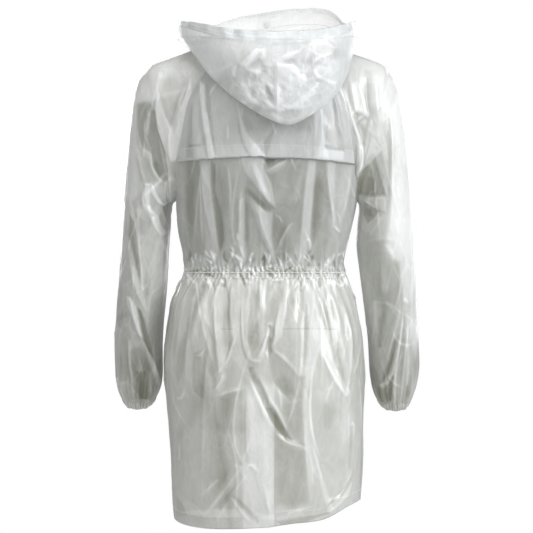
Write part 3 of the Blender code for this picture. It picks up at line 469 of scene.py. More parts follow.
def beside_placket(around):
    """0 at the centre front, under the placket, and 1 away from it."""
    return smoothstep(0.034, 0.055, np.abs(around % 1 - 0.5))


skins, whiteness_and_painted_light = {}, {}  # each panel's points and normals, and its whiteness: paler seam allowances, and painted highlights and painted shade


def draw_in(name, where, grid, normal, flat, white, free=1):
    """Keeps a panel's points, normals and whiteness under its name, with its gathers at the casing and
    their painted highlights.
    """
    ruffle, pale = gathers(around_of(where), flat[..., 1])
    pinch, pinch_pale = pinches(grid, normal)
    skins[name] = [grid + normal * (ruffle * free + pinch)[..., None], normal]
    whiteness_and_painted_light[name] = white + (pale + pinch_pale)


def quarter(end, middle_y, middle_z, shares):
    """Points of one quarter of a section, from its middle at x = 0 out to `end`."""
    n = BODY_SQUARE
    share = abs(end[1] / middle_y)
    half = abs(end[0]) / (1 - share**n) ** (1 / n)
    angle = np.linspace(0, math.acos(share ** (n / 2)), 240)
    x = half * np.sin(angle) ** (2 / n)
    y = middle_y * np.cos(angle) ** (2 / n)
    z = end[2] + (middle_z - end[2]) * (1 - np.clip(x / abs(end[0]), 0, 1) ** 2)
    return evenly(np.stack([x * np.sign(end[0]), y, z], axis=1), shares)


def seam_point(share, where, side):
    """A point of the raglan seam, on the back or front, and on side 1, the wearer's left, or side -1."""
    x, y, z = (through(RAGLAN["share"], RAGLAN[f"{where}_{axis}"], share)[0] for axis in "xyz")
    return np.array([side * x, y, z])


def body_row(height, where, share=None):
    """One row of the body from the wearer's right to the left, level below the underarm. Above it the
    row belongs to a share of the raglan seam."""
    shares = np.linspace(0, 1, QUARTER_COLUMNS + 1)
    halves = []
    for side, name in ((-1, "right"), (1, "left")):
        if share is None:
            end = np.array([side * through(BODY["height"], BODY[name], height)[0], 0, height])
            middle_z = height
        else:
            end = seam_point(share, where, side)
            middle_z = through(RAGLAN["share"], RAGLAN[where + "_middle"], share)[0]
        depth = WAY[where] * through(BODY["height"], BODY[where], middle_z)[0]
        halves.append(quarter(end, depth, middle_z, shares))
    return np.concatenate([halves[0][::-1], halves[1][1:]])


def around_of(where):
    """How far round the coat each column of a row is: 0 at the centre back, 0.5 at the centre front."""
    share = np.linspace(-1, 1, 2 * QUARTER_COLUMNS + 1)
    return share * 0.25 if where == "back" else 0.5 - share * 0.25


def outward(grid, normals, where):
    """Normals turned so that they point out of the coat."""
    return normals * np.sign((normals[..., 1] * WAY[where]).sum())


def closed_normals(back, front):
    """Normals of the back and the front, made equal where the two meet at the side seams."""
    n_back = outward(back, grid_normals(back), "back")
    n_front = outward(front, grid_normals(front), "front")
    rows = min(len(back), len(front))
    for column in (0, -1):
        shared = unit(n_back[:rows, column] + n_front[:rows, column])
        n_back[:rows, column] = shared
        n_front[:rows, column] = shared
    return n_back, n_front


def upper_grid(where):
    """The back or the front above the waist casing, from the right side to the left."""
    low = WAIST + CASING_HEIGHT / 2
    level_rows = np.linspace(low, UNDERARM, round((UNDERARM - low) / FILM_ROW) + 1)
    rows = [body_row(height, where) for height in level_rows]
    rows += [body_row(None, where, share) for share in SEAM_SHARES[1:]]
    return np.array(rows)


def settle(grid, normals, parts, seams, calm=1.0, facets=(), laps_and_painted_light=()):
    """The film with its folds: parts are (flat places, folds, how much each shows), facets and the patches
    are the same with what their own functions take, and seams is how free of its seams each point is.
    Gives the new points and their whiteness, with the painted highlights and painted shade of folds,
    facets and patches."""
    height, white, lap_and_painted_light_tone = (np.zeros(grid.shape[:2]) for _ in range(3))
    for flat, pressed, shown in facets:
        high, pale = crumpled(flat, *pressed)
        height += high * shown
        white += pale * shown
    for flat, places, shown in laps_and_painted_light:
        high, pale = lapped_and_painted_light(flat, places)
        height += high * shown
        lap_and_painted_light_tone += pale * shown
    shift = np.zeros(grid.shape)
    for flat, folds, shown in parts:
        high, push, pale = fold_relief(flat, folds)
        height += high * shown
        white += pale * shown
        sideways = np.stack([push[..., 0], np.zeros(height.shape), push[..., 1]], axis=-1)
        sideways -= normals * (sideways * normals).sum(axis=-1, keepdims=True)
        shift += sideways * np.asarray(shown)[..., None]
    free = np.asarray(seams * calm)[..., None]
    return grid + (normals * height[..., None] + shift) * free, white * free[..., 0] + lap_and_painted_light_tone * calm


def beside_middle(grid, where):
    """How free the film is of the placket: 0 beside it, and 1 on the whole back."""
    return smoothstep(*PLACKET_CALM, np.abs(grid[..., 0])) if where == "front" else 1


def facing(normals, way):
    """1 where the film faces +Y (way 1) or -Y (way -1), and 0 round the sides."""
    return smoothstep(0.05, 0.4, way * normals[..., 1])


class Wire:
    """One output in a material's nodes. Arithmetic on it adds the nodes that work it out."""

    def __init__(self, tree, socket=None):
        self.tree, self.socket = tree, socket

    def feed(self, node, inputs):
        """Sets a node's sockets to these values, or links them to these outputs."""
        for name, value in inputs.items():
            if isinstance(value, Wire):
                self.tree.links.new(value.socket, node.inputs[name])
            else:
                node.inputs[name].default_value = value

    def node(self, kind, settings, inputs, output=0):
        made = self.tree.nodes.new(kind)
        for name, value in settings.items():
            setattr(made, name, value)
        self.feed(made, inputs)
        return Wire(self.tree, made.outputs[output])

    def math(self, operation, first, second=0.0):
        return self.node("ShaderNodeMath", {"operation": operation}, {0: first, 1: second})

    def __add__(self, other):
        return self.math("ADD", self, other)

    def __sub__(self, other):
        return self.math("SUBTRACT", self, other)

    def __rsub__(self, other):
        return self.math("SUBTRACT", other, self)

    def __mul__(self, other):
        return self.math("MULTIPLY", self, other)

    def __pow__(self, other):
        return self.math("POWER", self, other)

    __radd__, __rmul__ = __add__, __mul__

    def held(self):
        """The value kept between 0 and 1."""
        return self.node("ShaderNodeMath", {"operation": "ADD", "use_clamp": True}, {0: self, 1: 0.0})

    def blend(self, low, high):
        """A colour between low and high, by this value."""
        return self.node("ShaderNodeMix", {"data_type": "RGBA"}, {0: self, 6: low, 7: high}, 2)


def new_finish(name):
    """A new material, its shader, the start of its nodes, and each point's place on the coat."""
    finish = bpy.data.materials.new(name)
    finish.use_nodes = True
    start = Wire(finish.node_tree)
    place = start.node("ShaderNodeTexCoord", {}, {}, "Object")
    return finish, finish.node_tree.nodes["Principled BSDF"], start, place


def frosted_film(name, pale, deep, opacity, milkiness, gloss=0.5):
    """Film that lets some of what is behind it through. Each point's whiteness attribute whitens or
    darkens it:
    paler where the film is doubled, with the painted highlights and painted shade of its folds, facets,
    gathers and patches. A single layer that nothing lies behind is thin."""
    finish, shader, start, place = new_finish(name)
    stretched = start.node("ShaderNodeMapping", {}, {"Vector": place, "Scale": (1.0, 1.0, 0.42)})
    milk_and_painted_light = start.node("ShaderNodeAttribute", {"attribute_name": "milk_and_painted_light"}, {}, "Fac")
    thin = start.node("ShaderNodeAttribute", {"attribute_name": "thin"}, {}, "Fac")

    def noise(vector, scale, detail, distortion=0.0):
        inputs = {"Vector": vector, "Scale": scale, "Detail": detail, "Distortion": distortion}
        return start.node("ShaderNodeTexNoise", {}, inputs, "Fac")

    def facets(scale, feature):
        inputs = {"Vector": stretched, "Scale": scale}
        return start.node("ShaderNodeTexVoronoi", {"feature": feature}, inputs, "Distance")

    def lines(scale, distortion, narrow):
        """White where the noise is near its middle, which is along thin wandering lines."""
        off = start.math("ABSOLUTE", noise(stretched, scale, 2.0, distortion) - 0.5)
        return (1 - off * narrow).held() ** 2.0

    cloud = noise(place, 11.0, 3.0, 0.6)
    # painted highlight: thin white lines along the edges of the larger facets, where the clouds allow
    painted_edge_highlight = (1 - facets(19.0, "DISTANCE_TO_EDGE") * 30.0).held() * (cloud * 5.0 - 2.2).held()
    crease = lines(46.0, 1.2, 7.0)
    crinkle = lines(150.0, 0.8, 6.0)
    grain = noise(place, 900.0, 2.0)
    # the tone: the whiteness attribute, random clouds, the painted edge highlight and paler crease lines
    tone = (milk_and_painted_light * 0.62 + (cloud - 0.5) * 0.3 + painted_edge_highlight * 0.07 + crease * 0.06 + milkiness).held()
    facet = facets(19.0, "F1") * 6.0 + facets(47.0, "F1") * 3.8
    height = facet + crease * 0.5 + crinkle * 0.2 + grain * 0.06
    bump = start.node("ShaderNodeBump", {}, {"Height": height, "Strength": 0.3, "Distance": 0.0011})
    start.feed(shader, {
        "Base Color": tone.blend((*deep, 1), (*pale, 1)),
        "Roughness": grain * 0.1 + cloud * 0.12 + 0.24,
        "Alpha": (tone * 0.16 + (opacity - 0.08) - thin).held(),
        "Normal": bump,
        "IOR": 1.5,
        "Coat Weight": gloss,
        "Coat Roughness": 0.16,
    })
    return finish


def mesh_piece(name, points, faces, finish):
    """A shown piece made from points in millimetres, which rides on the coat."""
    mesh = bpy.data.meshes.new(name)
    mesh.from_pydata((np.asarray(points) * 0.001).tolist(), [], faces.tolist())
    mesh.materials.append(finish)
    mesh.shade_smooth()
    made = bpy.data.objects.new(name, mesh)
    bpy.context.scene.collection.objects.link(made)
    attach(made, "root")
    return made


def grid_faces(rows, columns, closed):
    """The faces of a grid of points. A closed one is joined from its last column to its first."""
    index = np.arange(rows * columns).reshape(rows, columns)
    if closed:
        index = np.concatenate([index, index[:, :1]], axis=1)
    corners = [index[:-1, :-1], index[:-1, 1:], index[1:, 1:], index[1:, :-1]]
    return np.stack(corners, axis=-1).reshape(-1, 4)


def film_piece(name, grid, finish, milk_and_painted_light, rests_on=None, closed=False,
               thin=None, kind="panel"):
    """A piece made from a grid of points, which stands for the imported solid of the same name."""
    faces = grid_faces(*grid.shape[:2], closed)
    made = mesh_piece(f"{name}_{kind}", grid.reshape(-1, 3), faces, finish)
    for layer, values in (("milk_and_painted_light", milk_and_painted_light), ("thin", thin)):
        if values is not None:
            numbers = np.asarray(values, float).reshape(-1)
            made.data.attributes.new(layer, "FLOAT", "POINT").data.foreach_set("value", numbers)
    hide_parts(name)


SLACK = {
    "back": scattered(11, 22, (-165, -410, 165, -150), 0, (24, 60), (0.5, 1.2)),
    "front": scattered(12, 40, (-165, -410, 165, -80), 0, (24, 60), (0.8, 2.2)),
}
DRAPES = {
    "back": scattered(13, 12, (-160, -400, 160, -190), 0, (110, 220), (1.2, 2.8), (12, 26), 8),
    "front": scattered(14, 24, (-160, -400, 160, -120), 0, (110, 240), (1.5, 4.0), (12, 26), 8),
}
grids = [upper_grid(where) for where in ("back", "front")]
for where, grid, normal in zip(("back", "front"), grids, closed_normals(*grids)):
    folds, lap_and_painted_light_share = (BACK_FOLDS, 1) if where == "back" else (FRONT_FOLDS, 0.6)
    normal[0], normal[-1] = level(normal[0]), level(normal[-1])
    flat, shown = grid[..., [0, 2]], facing(normal, WAY[where])
    row, column = np.arange(len(grid))[:, None], np.arange(grid.shape[1])
    to_edge = np.minimum(column, column[::-1])
    above = row > len(grid) - RAGLAN_STEPS - 4
    free = np.where(above, smoothstep(0, 7, to_edge), 1)
    from_casing = smoothstep(0, CASING_CALM, grid[..., 2] - WAIST - CASING_HEIGHT / 2)
    parts = [(flat, some, shown) for some in (folds, SLACK[where], DRAPES[where])]
    grid, white = settle(grid, normal, parts, from_casing * free * smoothstep(0, 10, row[::-1]),
                         beside_middle(grid, where), laps_and_painted_light=[(flat, BACK_LAPS_AND_PAINTED_LIGHT, lap_and_painted_light_share * shown)])
    draw_in(where, where, grid, normal, flat, white, free)
    whiteness_and_painted_light[where] += SEAM_ALLOWANCE * hump(to_edge, 3)

film = frosted_film("frosted_film", (0.85, 0.87, 0.875), (0.215, 0.22, 0.18), opacity=0.8,
                    milkiness=0.37)
middle = QUARTER_COLUMNS
for name, where, columns, cut in (
    ("back", "back", np.s_[:], (0.56, 0.47, 0.175)),
    ("front_right", "front", np.s_[: middle + 1], (0.29, 0.45, 0.082)),
    ("front_left", "front", np.s_[middle:], (0.29, 0.45, 0.082)),
):
    film_piece(name, skins[where][0][:, columns], film, whiteness_and_painted_light[where][:, columns],
               ["sleeve_left", "sleeve_right"])

# ---------------------------------------------------------------- sleeves
# Each raglan sleeve is one tube of film from the neck and the underarm to the wrist. It is sewn into the
# slanting seams, slouches into creases at the elbow and is gathered by the cuff.

NECK_SIDE = (80.0, 0.0, 10.0)  # the neckline's highest point, on the shoulder
NECK_COLUMNS = 40  # columns of the sleeve along the neckline
# Rings of each sleeve after its raglan seam: the ends of the ring's line from the inside of the arm to
# the outside, its depths behind and in front of the arm's middle, where that middle is, and how far the
# ring's back edge drops.
SLEEVE_COLUMNS = "inner_x inner_z outer_x outer_z back front middle_y drop"
SLEEVE_LEFT = table(SLEEVE_COLUMNS, """
178 -296 200 -26 83 86 0 0;
179 -299 230 -45 77 80 0 0;
180 -303 248 -76 72 75 0 0;
181 -310 259 -145 68 71 0 0;
182 -318 267 -240 64 67 0 0;
183 -334 273 -326 62 65 -1 0;
185 -374 276 -374 60 63 -3 0;
188 -435 280 -435 58 61 -7 0;
194 -496 285 -496 57 59 -13 0;
198 -557 290 -557 56 57 -20 3;
199 -610 289 -610 54 54 -28 6;
203 -639 286 -639 48 48 -32 8;
209 -656 281 -656 41 41 -35 9;
214 -666 277 -666 35 35 -37 10
""")
SLEEVE_RIGHT = table(SLEEVE_COLUMNS, """
175 -296 202 -27 83 86 0 0;
176 -299 233 -47 77 80 0 0;
176 -303 251 -79 72 75 0 0;
176 -310 263 -147 68 71 0 0;
175 -318 272 -240 64 67 0 0;
173 -334 279 -326 63 66 -1 0;
171 -374 283 -374 63 65 -3 0;
177 -425 286 -425 61 63 -7 0;
185 -485 287 -485 58 60 -13 0;
193 -550 290 -550 57 58 -20 3;
197 -607 292 -607 55 55 -28 6;
203 -640 287 -640 48 48 -32 8;
209 -659 281 -659 41 41 -35 9;
214 -669 277 -669 35 35 -37 10
""")
SEAM_ANGLE = 155.0  # degrees round the arm from the underarm to where the raglan seam meets the neck
SHOULDER_SQUARE = 1.0  # how much squarer than an ellipse the rings at the raglan seam are
SLEEVE_ROWS = 330
SLEEVE_STEP = 1.88
SLEEVE_LEFT_FOLDS = charted_folds(SLEEVE_STEP, """
160 62 156 95 148 118 6 6 5 0.8;
148 118 145 132 150 152 6 5 6 0.9;
150 150 154 172 167 184 6 6 5 0.8;
163 88 157 112 159 136 5 6 6 0.6;
158 134 163 158 168 184 5 5 5 0.8;
188 82 178 110 171 130 6 6 6 0.6;
171 128 170 146 172 163 5 5 6 0.9;
196 80 187 103 183 132 5 4 7 0.8;
183 130 180 152 175 173 5 5 5 0.8;
177 100 174 118 173 140 -6 6 6 0.2;
151 104 148 112 152 120 3 6 6 0.4;
135 142 141 168 146 186 5 5 6 0.7;
146 184 143 202 151 216 5 5 5 0.8;
150 214 154 225 161 237 5 5 5 0.7;
150 184 160 203 168 199 5 6 4 0.9;
160 212 162 222 164 236 -6 6 5 0.3;
152 158 157 170 160 182 -5 6 5 0.3;
136 206 140 216 152 222 3 7 7 0.3;
129 238 133 280 147 313 5 5 6 0.7;
137 240 140 262 142 290 5 5 6 0.8;
146 262 150 280 152 300 3 6 6 0.3;
158 232 162 246 166 256 3 5 5 0.5;
127 290 136 322 145 350 7 5 6 0.8 1;
145 348 151 366 158 384 5 5 5 0.7;
133 300 143 328 152 356 -7 6 6 0.3;
127 340 129 364 133 385 4 4 4 0.7;
136 350 140 368 146 386 4 4 5 0.7;
150 356 153 370 154 388 4 4 4 0.5;
118 300 119 340 124 378 3 5 5 0.2
""")
SLEEVE_RIGHT_FOLDS = charted_folds(SLEEVE_STEP, """
336 86 350 124 359 146 6 4 6 0.9;
359 144 360 160 353 186 6 4 5 0.9;
354 138 356 156 353 176 5 4 4 0.5;
361 68 358 92 366 118 6 6 4 0.9;
347 80 350 98 353 120 5 5 5 0.6;
353 127 358 119 366 118 5 4 4 0.9;
366 76 365 96 368 120 -6 4 4 0.4;
373 70 374 98 376 126 5 5 5 0.4;
388 100 390 168 388 236 6 4 7 0.7;
369 156 374 155 379 150 4 5 4 0.8;
360 160 364 176 356 190 -6 8 8 0.2;
373 158 380 178 387 202 5 6 5 0.8;
360 198 368 204 377 210 5 7 4 0.9;
366 206 366 212 372 218 -6 5 6 0.3;
366 242 374 226 386 214 4 5 5 0.6;
356 190 366 192 376 190 3 5 5 0.4;
382 240 388 250 392 254 3 6 5 0.6;
403 270 398 292 393 312 5 5 5 0.7;
400 303 404 300 408 304 4 4 4 0.8;
400 304 392 336 385 367 5 4 4 0.8;
391 320 384 338 378 354 4 4 4 0.7;
403 308 398 348 393 386 5 4 4 0.8;
408 308 405 348 401 386 5 4 4 0.8;
415 322 416 350 411 374 4 4 5 0.4;
380 260 381 282 382 300 4 5 5 0.4;
384 300 380 330 378 352 -5 5 5 0.2;
396 330 390 352 386 378 -5 4 4 0.3;
378 356 384 372 386 388 4 4 4 0.5
""")
# Patches on the left sleeve: painted highlights on lit facets and painted shade in its hollows, with the
# film raised and sunk.
SLEEVE_LEFT_LAPS_AND_PAINTED_LIGHT = charted_laps_and_painted_light(SLEEVE_STEP, 1.1, 1.15, """
0.5 0 5 131 100 137 84 146 70 160 62 176 60 168 75 158 95 152 102 136 103;
0.4 0 3 124 140 129 110 135 98 137 108 136 130 138 160 138 195 132 200 122 190;
0.4 1.5 0.9 158 90 161 100 166 120 171 128 178 115 186 97 190 80 192 96 186 112 183 135 181 150 176 161
171 162 164 148 158 132 156 112;
0.1 0.5 2 161 70 176 70 184 92 180 112 171 127 167 120 164 100 159 88;
-0.5 -1.8 0.8 151 111 156 112 158 132 165 152 168 172 168 183 160 179 154 168 150 150 148 136;
-0.42 -1 1.4 136 104 150 103 153 108 147 117 146 131 149 141 150 153 142 149 138 135 136 118;
-0.25 -0.5 1.5 169 163 176 162 182 150 186 150 185 168 178 176 172 180 168 172;
-0.15 0 3 140 155 150 160 158 178 166 186 152 183 146 182 141 168;
0.35 1.5 1.2 145 184 150 184 149 205 154 214 150 214 146 206 144 195;
0.3 1.5 1.2 151 184 155 190 163 204 157 203 150 192;
-0.55 -2 1 162 206 172 200 170 226 167 224;
0.35 1.5 1.5 146 206 150 210 158 216 163 228 167 232 160 236 153 224 147 212;
-0.15 0 2 136 212 146 212 152 224 148 236 138 232;
0.1 0.5 3 146 250 150 240 160 240 166 250 164 280 150 296;
-0.5 -1.5 1.5 129 215 134 222 137 240 140 262 140 290 136 272 131 250 127 235;
0.25 1 1 126 192 131 200 137 230 141 262 143 290 139 288 137 262 133 235 128 205;
0.2 1 1.2 131 265 137 270 141 285 144 300 146 312 141 303 136 292 132 278;
0.35 1.5 1 125 296 129 297 136 308 141 322 144 340 140 335 135 330 131 315 126 305;
-0.6 -2 1.2 136 307 140 310 144 325 150 345 152 358 147 350 143 340 140 325;
-0.35 -0.5 4 127 350 140 345 152 365 150 395 140 405 132 405 126 375;
-0.45 -1 2.5 135 372 144 372 147 400 137 402;
0.35 1.5 1 143 340 146 346 152 362 159 385 156 386 150 370 145 352;
-0.2 0 3 150 300 160 295 163 330 158 370 152 355 147 330;
0.4 0 2 112 320 119 330 117 380 121 398 112 390;
0.25 1 1 127 340 129 340 130 365 133 398 131 398 127 365
""")
# Patches on the right sleeve: the broad pale ones over the shoulder and down the outside are painted
# highlight from the key light, the rest painted highlights and painted shade on its folds.
SLEEVE_RIGHT_LAPS_AND_PAINTED_LIGHT = charted_laps_and_painted_light(SLEEVE_STEP, 1.0, 1.1, """
0.2 0.3 1 379 97 381 96 388 107 387 109 383 104 377 110 376 108 381 102;
0.36 0 6 340 62 352 54 376 58 396 72 410 100 416 150 404 160 392 118 380 108 366 108 350 98 344 84;
0.55 1.4 0.8 335 88 338 86 345 110 354 126 360 142 361 166 355 178 352 178 357 165 356 143 350 128 342
112;
-0.3 0 1 352 186 358 172 366 168 367 194 356 195;
0.5 1 1.2 349 85 355 84 362 100 366 118 352 113 351 100;
-0.2 -0.5 1 363 70 370 72 370 100 372 125 366 119 363 100;
-0.35 -1.5 1.5 352 114 362 116 367 120 364 135 362 150 362 166 360 150 357 138 352 126;
-0.12 0 1.5 368 124 376 124 388 118 390 150 389 190 384 216 374 238 362 222 362 165;
0.25 1 1 368 138 372 140 379 151 370 156 363 162 366 148;
-0.55 -2 2 352 186 358 175 364 168 373 159 381 176 383 196 370 197 360 197 353 193;
-0.3 -1 1.5 353 186 362 178 372 180 370 190 356 194;
0.2 1 1 358 196 366 198 378 210 384 212 383 198 372 198;
-0.55 -1.5 1 361 200 368 204 377 211 372 218 366 223 362 214;
0.6 0.6 3 389 118 396 95 410 140 420 250 418 330 408 385 402 300 398 262 390 258 383 246 386 225 389 195
391 150;
-0.3 0 3 362 225 374 238 382 248 383 262 380 300 372 300 365 262;
-0.15 0 4 383 258 398 262 402 300 395 330 385 330 380 300;
-0.3 0 4.5 381 290 388 292 386 310 382 320 379 345 378 320;
-0.35 -1 2.2 391 320 386 330 379 347 383 347 388 334;
-0.45 -1.5 2.5 397 335 394 350 391 370 386 382 381 384 383 372 388 362 391 345;
0.35 1.5 1 380 387 388 374 393 357 398 335 401 310 402 320 399 345 394 368 388 384;
-0.4 0 2 377 388 386 388 390 404 384 408 378 402;
0.2 1 1 373 300 377 300 376 320 372 345 370 350 373 325;
-0.25 -0.5 2 403 302 409 304 408 330 404 370 400 395 396 380 400 340;
0.25 1 1 405 330 407 332 404 370 400 398 402 370;
-0.5 -1 1.2 389 380 393 375 391 402 387 404;
-0.05 0 3 376 394 408 394 404 410 380 410;
0.15 0 4 393 372 402 350 410 370 408 400 394 402
""")


def neck_edge(side):
    """The sleeve's edge along the neckline, from the back raglan seam to the front one."""
    top = np.array(NECK_SIDE) * [side, 1, 1]
    return bend_through(seam_point(1, "back", side), top, seam_point(1, "front", side), NECK_COLUMNS)


def ring_angles():
    """The angle of each column round the arm: 0 under the arm, 180 outside, through the back first."""
    seam = np.linspace(0, SEAM_ANGLE, len(SEAM_SHARES))
    neck = np.linspace(SEAM_ANGLE, 360 - SEAM_ANGLE, NECK_COLUMNS + 1)
    return np.radians(np.concatenate([seam, neck[1:], 360 - seam[::-1][1:-1]]))


def sleeve_ring(rings, row, side):
    """One ring of a sleeve, as a round section across the line from its inner to its outer end."""
    angle = ring_angles()
    share = (1 - np.cos(angle)) / 2
    square = 2 + SHOULDER_SQUARE * 0.6**row
    deep = (1 - np.abs(np.cos(angle)) ** square) ** (1 / square)
    depth = np.where(angle < math.pi, rings["back"][row], -rings["front"][row])
    x = rings["inner_x"][row] + share * (rings["outer_x"][row] - rings["inner_x"][row])
    z = rings["inner_z"][row] + share * (rings["outer_z"][row] - rings["inner_z"][row])
    z = z - rings["drop"][row] * deep * np.sign(depth)
    return np.stack([side * x, rings["middle_y"][row] + depth * deep, z], axis=1)


def tube_normals(grid):
    """Normals of a tube of rings, pointing away from its middle."""
    normals = grid_normals(grid, closed=True)
    middle = grid.mean(axis=1, keepdims=True)
    return normals * np.sign((normals * (grid - middle)).sum())


def sleeve_grid(rings, side):
    """A sleeve from its raglan seam to the cuff, as evenly spaced rings of points."""
    back = [seam_point(s, "back", side) for s in SEAM_SHARES[:-1]]
    front = [seam_point(s, "front", side) for s in SEAM_SHARES[1:-1]][::-1]
    first = np.array(back + list(neck_edge(side)) + front)
    count = len(rings["back"])
    control = np.array([first] + [sleeve_ring(rings, row, side) for row in range(count)])
    fine = np.linspace(0, count, 400)
    quarters = through(np.arange(count + 1), control[:, :: first.shape[0] // 8], fine)
    steps = np.linalg.norm(np.diff(quarters, axis=0), axis=-1).mean(axis=1)
    length = np.concatenate([[0], np.cumsum(steps)])
    even = np.interp(np.linspace(0, length[-1], SLEEVE_ROWS), length, fine)
    return through(np.arange(count + 1), control, even)


def sleeve_axis(grid):
    """The direction of the sleeve's last ring, up the arm."""
    third = grid.shape[1] // 3
    axis = unit(np.cross(grid[-1, third] - grid[-1, 0], grid[-1, 2 * third] - grid[-1, 0]))
    return axis * np.sign(axis[2])


def square_to(axis, vectors):
    return unit(vectors - (vectors @ axis)[:, None] * axis)


def round_tube(grid):
    """Flat places for a tube: how far round its middle ring and how far down, in millimetres."""
    ring = np.linalg.norm(np.diff(grid[len(grid) // 2], axis=0), axis=1).sum()
    around = np.linspace(-ring / 2, ring / 2, grid.shape[1])
    down = -np.linspace(0, 1, len(grid)) * np.linalg.norm(np.diff(grid[:, 0], axis=0), axis=1).sum()
    return np.stack(np.meshgrid(around, down), axis=-1)


sleeve_film = frosted_film("sleeve_film", (0.85, 0.865, 0.86), (0.215, 0.218, 0.168), opacity=0.8,
                           milkiness=0.5)
sleeves = {}
for side, name, rings, folds, laps_and_painted_light in (
    (1, "left", SLEEVE_LEFT, SLEEVE_LEFT_FOLDS, SLEEVE_LEFT_LAPS_AND_PAINTED_LIGHT),
    (-1, "right", SLEEVE_RIGHT, SLEEVE_RIGHT_FOLDS, SLEEVE_RIGHT_LAPS_AND_PAINTED_LIGHT),
):
    grid = sleeve_grid(rings, side)
    normal = tube_normals(grid)
    flat, tube = grid[..., [0, 2]], round_tube(grid)
    slack = scattered(20 + side, 60, (-200, -520, 200, -20), 8, (22, 70), (0.4, 1.2))
    drapes = scattered(25 + side, 22, (-200, -600, 200, -20), 5, (100, 220), (1.2, 3.0), (10, 22), 9)
    elbow = scattered(30 + side, 18, (-200, -420, 200, -170), 62, (40, 80), (0.8, 2.0), (6, 14), 18)
    pressed = (40 + side, (-200, -480, 200, -120), 34, 1.6, 1.6)
    down = np.linspace(0, 1, len(grid))[:, None]
    seams = smoothstep(0, 0.035, down) * smoothstep(1.0, 0.97, down)
    behind, before = facing(normal, 1), facing(normal, -1)
    parts = [(flat, folds, 0.68 * behind), (flat, folds, 0.6 * before)]
    parts += [(tube, some, 1.0) for some in (slack, elbow, drapes)]
    grid, white = settle(grid, normal, parts, seams, facets=[(tube, pressed, 0.5)],
                         laps_and_painted_light=[(flat, laps_and_painted_light, behind), (flat, laps_and_painted_light, 0.6 * before)])
    angle = np.linspace(0, 2 * math.pi, grid.shape[1], endpoint=False)
    # puckers at the cuff, each with a painted highlight on its crest and painted shade between
    for waves, high, turn in ((9, 1.3, 0.4), (14, 1.0, 2.0), (23, 0.8, 1.1), (37, 0.45, 0.0)):
        pucker = np.sin(waves * angle + turn) * smoothstep(0.86, 0.98, down)
        grid = grid + normal * (high * pucker)[..., None]
        white = white + 0.05 * pucker
    # painted shade: the sleeve darkens towards the cuff; it is paler along its seam at the top
    white = white + 0.08 - 0.4 * smoothstep(0.4, 0.92, down) + 0.14 * hump(down, 0.012)
    normal[-1] = square_to(sleeve_axis(grid), normal[-1])
    sleeves[side] = (grid, normal)
    dense = np.broadcast_to(-0.2 * smoothstep(0.85, 0.95, down), white.shape)
    film_piece("sleeve_" + name, grid, sleeve_film, white,
               ["back", "front_" + name], closed=True, thin=dense)

# ---------------------------------------------------------------- cuffs
# The cuff is a narrow doubled edge of the sleeve's own film, sewn on round its end. The elastic in it
# draws the sleeve in to the wrist.

CUFF_HEIGHT = 15.0
CUFF_DRAW_IN = 6.0  # how far its lower edge is drawn in
CUFF_WALL = 0.7  # between its two layers
CUFF_WAVES, CUFF_WAVE = 37, 0.55  # how many gathers, and how high they stand
CUFF_ROWS = 13
CUFF_COLUMNS = 324

for side, name in ((1, "left"), (-1, "right")):
    sleeve = sleeves[side][0]
    axis = sleeve_axis(sleeve)
    angle = np.linspace(0, 2 * math.pi, CUFF_COLUMNS, endpoint=False)
    edge = evenly(np.concatenate([sleeve[-1], sleeve[-1, :1]]), angle / (2 * math.pi))
    normal = square_to(axis, edge - edge.mean(axis=0))
    around_edge = np.concatenate([edge[-9:], edge, edge[:9]])
    evened = sum(around_edge[k : k + CUFF_COLUMNS] for k in range(19)) / 19
    gather = np.sin(CUFF_WAVES * angle + 0.9 * np.sin(4 * angle))
    uneven = 1 + 0.5 * np.sin(5 * angle + 2.0 * side)
    rows = []
    for t in np.linspace(0, 1, CUFF_ROWS):
        wave = CUFF_WAVE * gather * uneven * (0.35 + 0.65 * math.sin(math.pi * t))
        out = wave - CUFF_DRAW_IN * t**1.6
        rows.append(edge * (1 - t) + evened * t - axis * CUFF_HEIGHT * t + normal * out[..., None])
    inside = [row - normal * CUFF_WALL + axis * 0.4 for row in rows[::-1]]
    cuff = np.array((rows + inside)[::-1])
    # painted highlight on each gather's crest and painted shade between, on a cuff darker overall
    gather_light_and_shade = 0.22 * gather * np.ones((len(cuff), 1)) - 0.22
    film_piece("cuff_" + name, cuff, sleeve_film, gather_light_and_shade,
               ["sleeve_" + name], closed=True, thin=np.full(cuff.shape[:2], -0.2))

# ---------------------------------------------------------------- storm flap
# A loose flap over the shoulders, sewn in with the neck and raglan seams. Its hem is turned up and
# stitched, and stands a little off the back.

FLAP_ROWS = RAGLAN_STEPS * 2 // 3 + 1  # the rows of the back that the flap covers
FLAP_STEP = 1.835
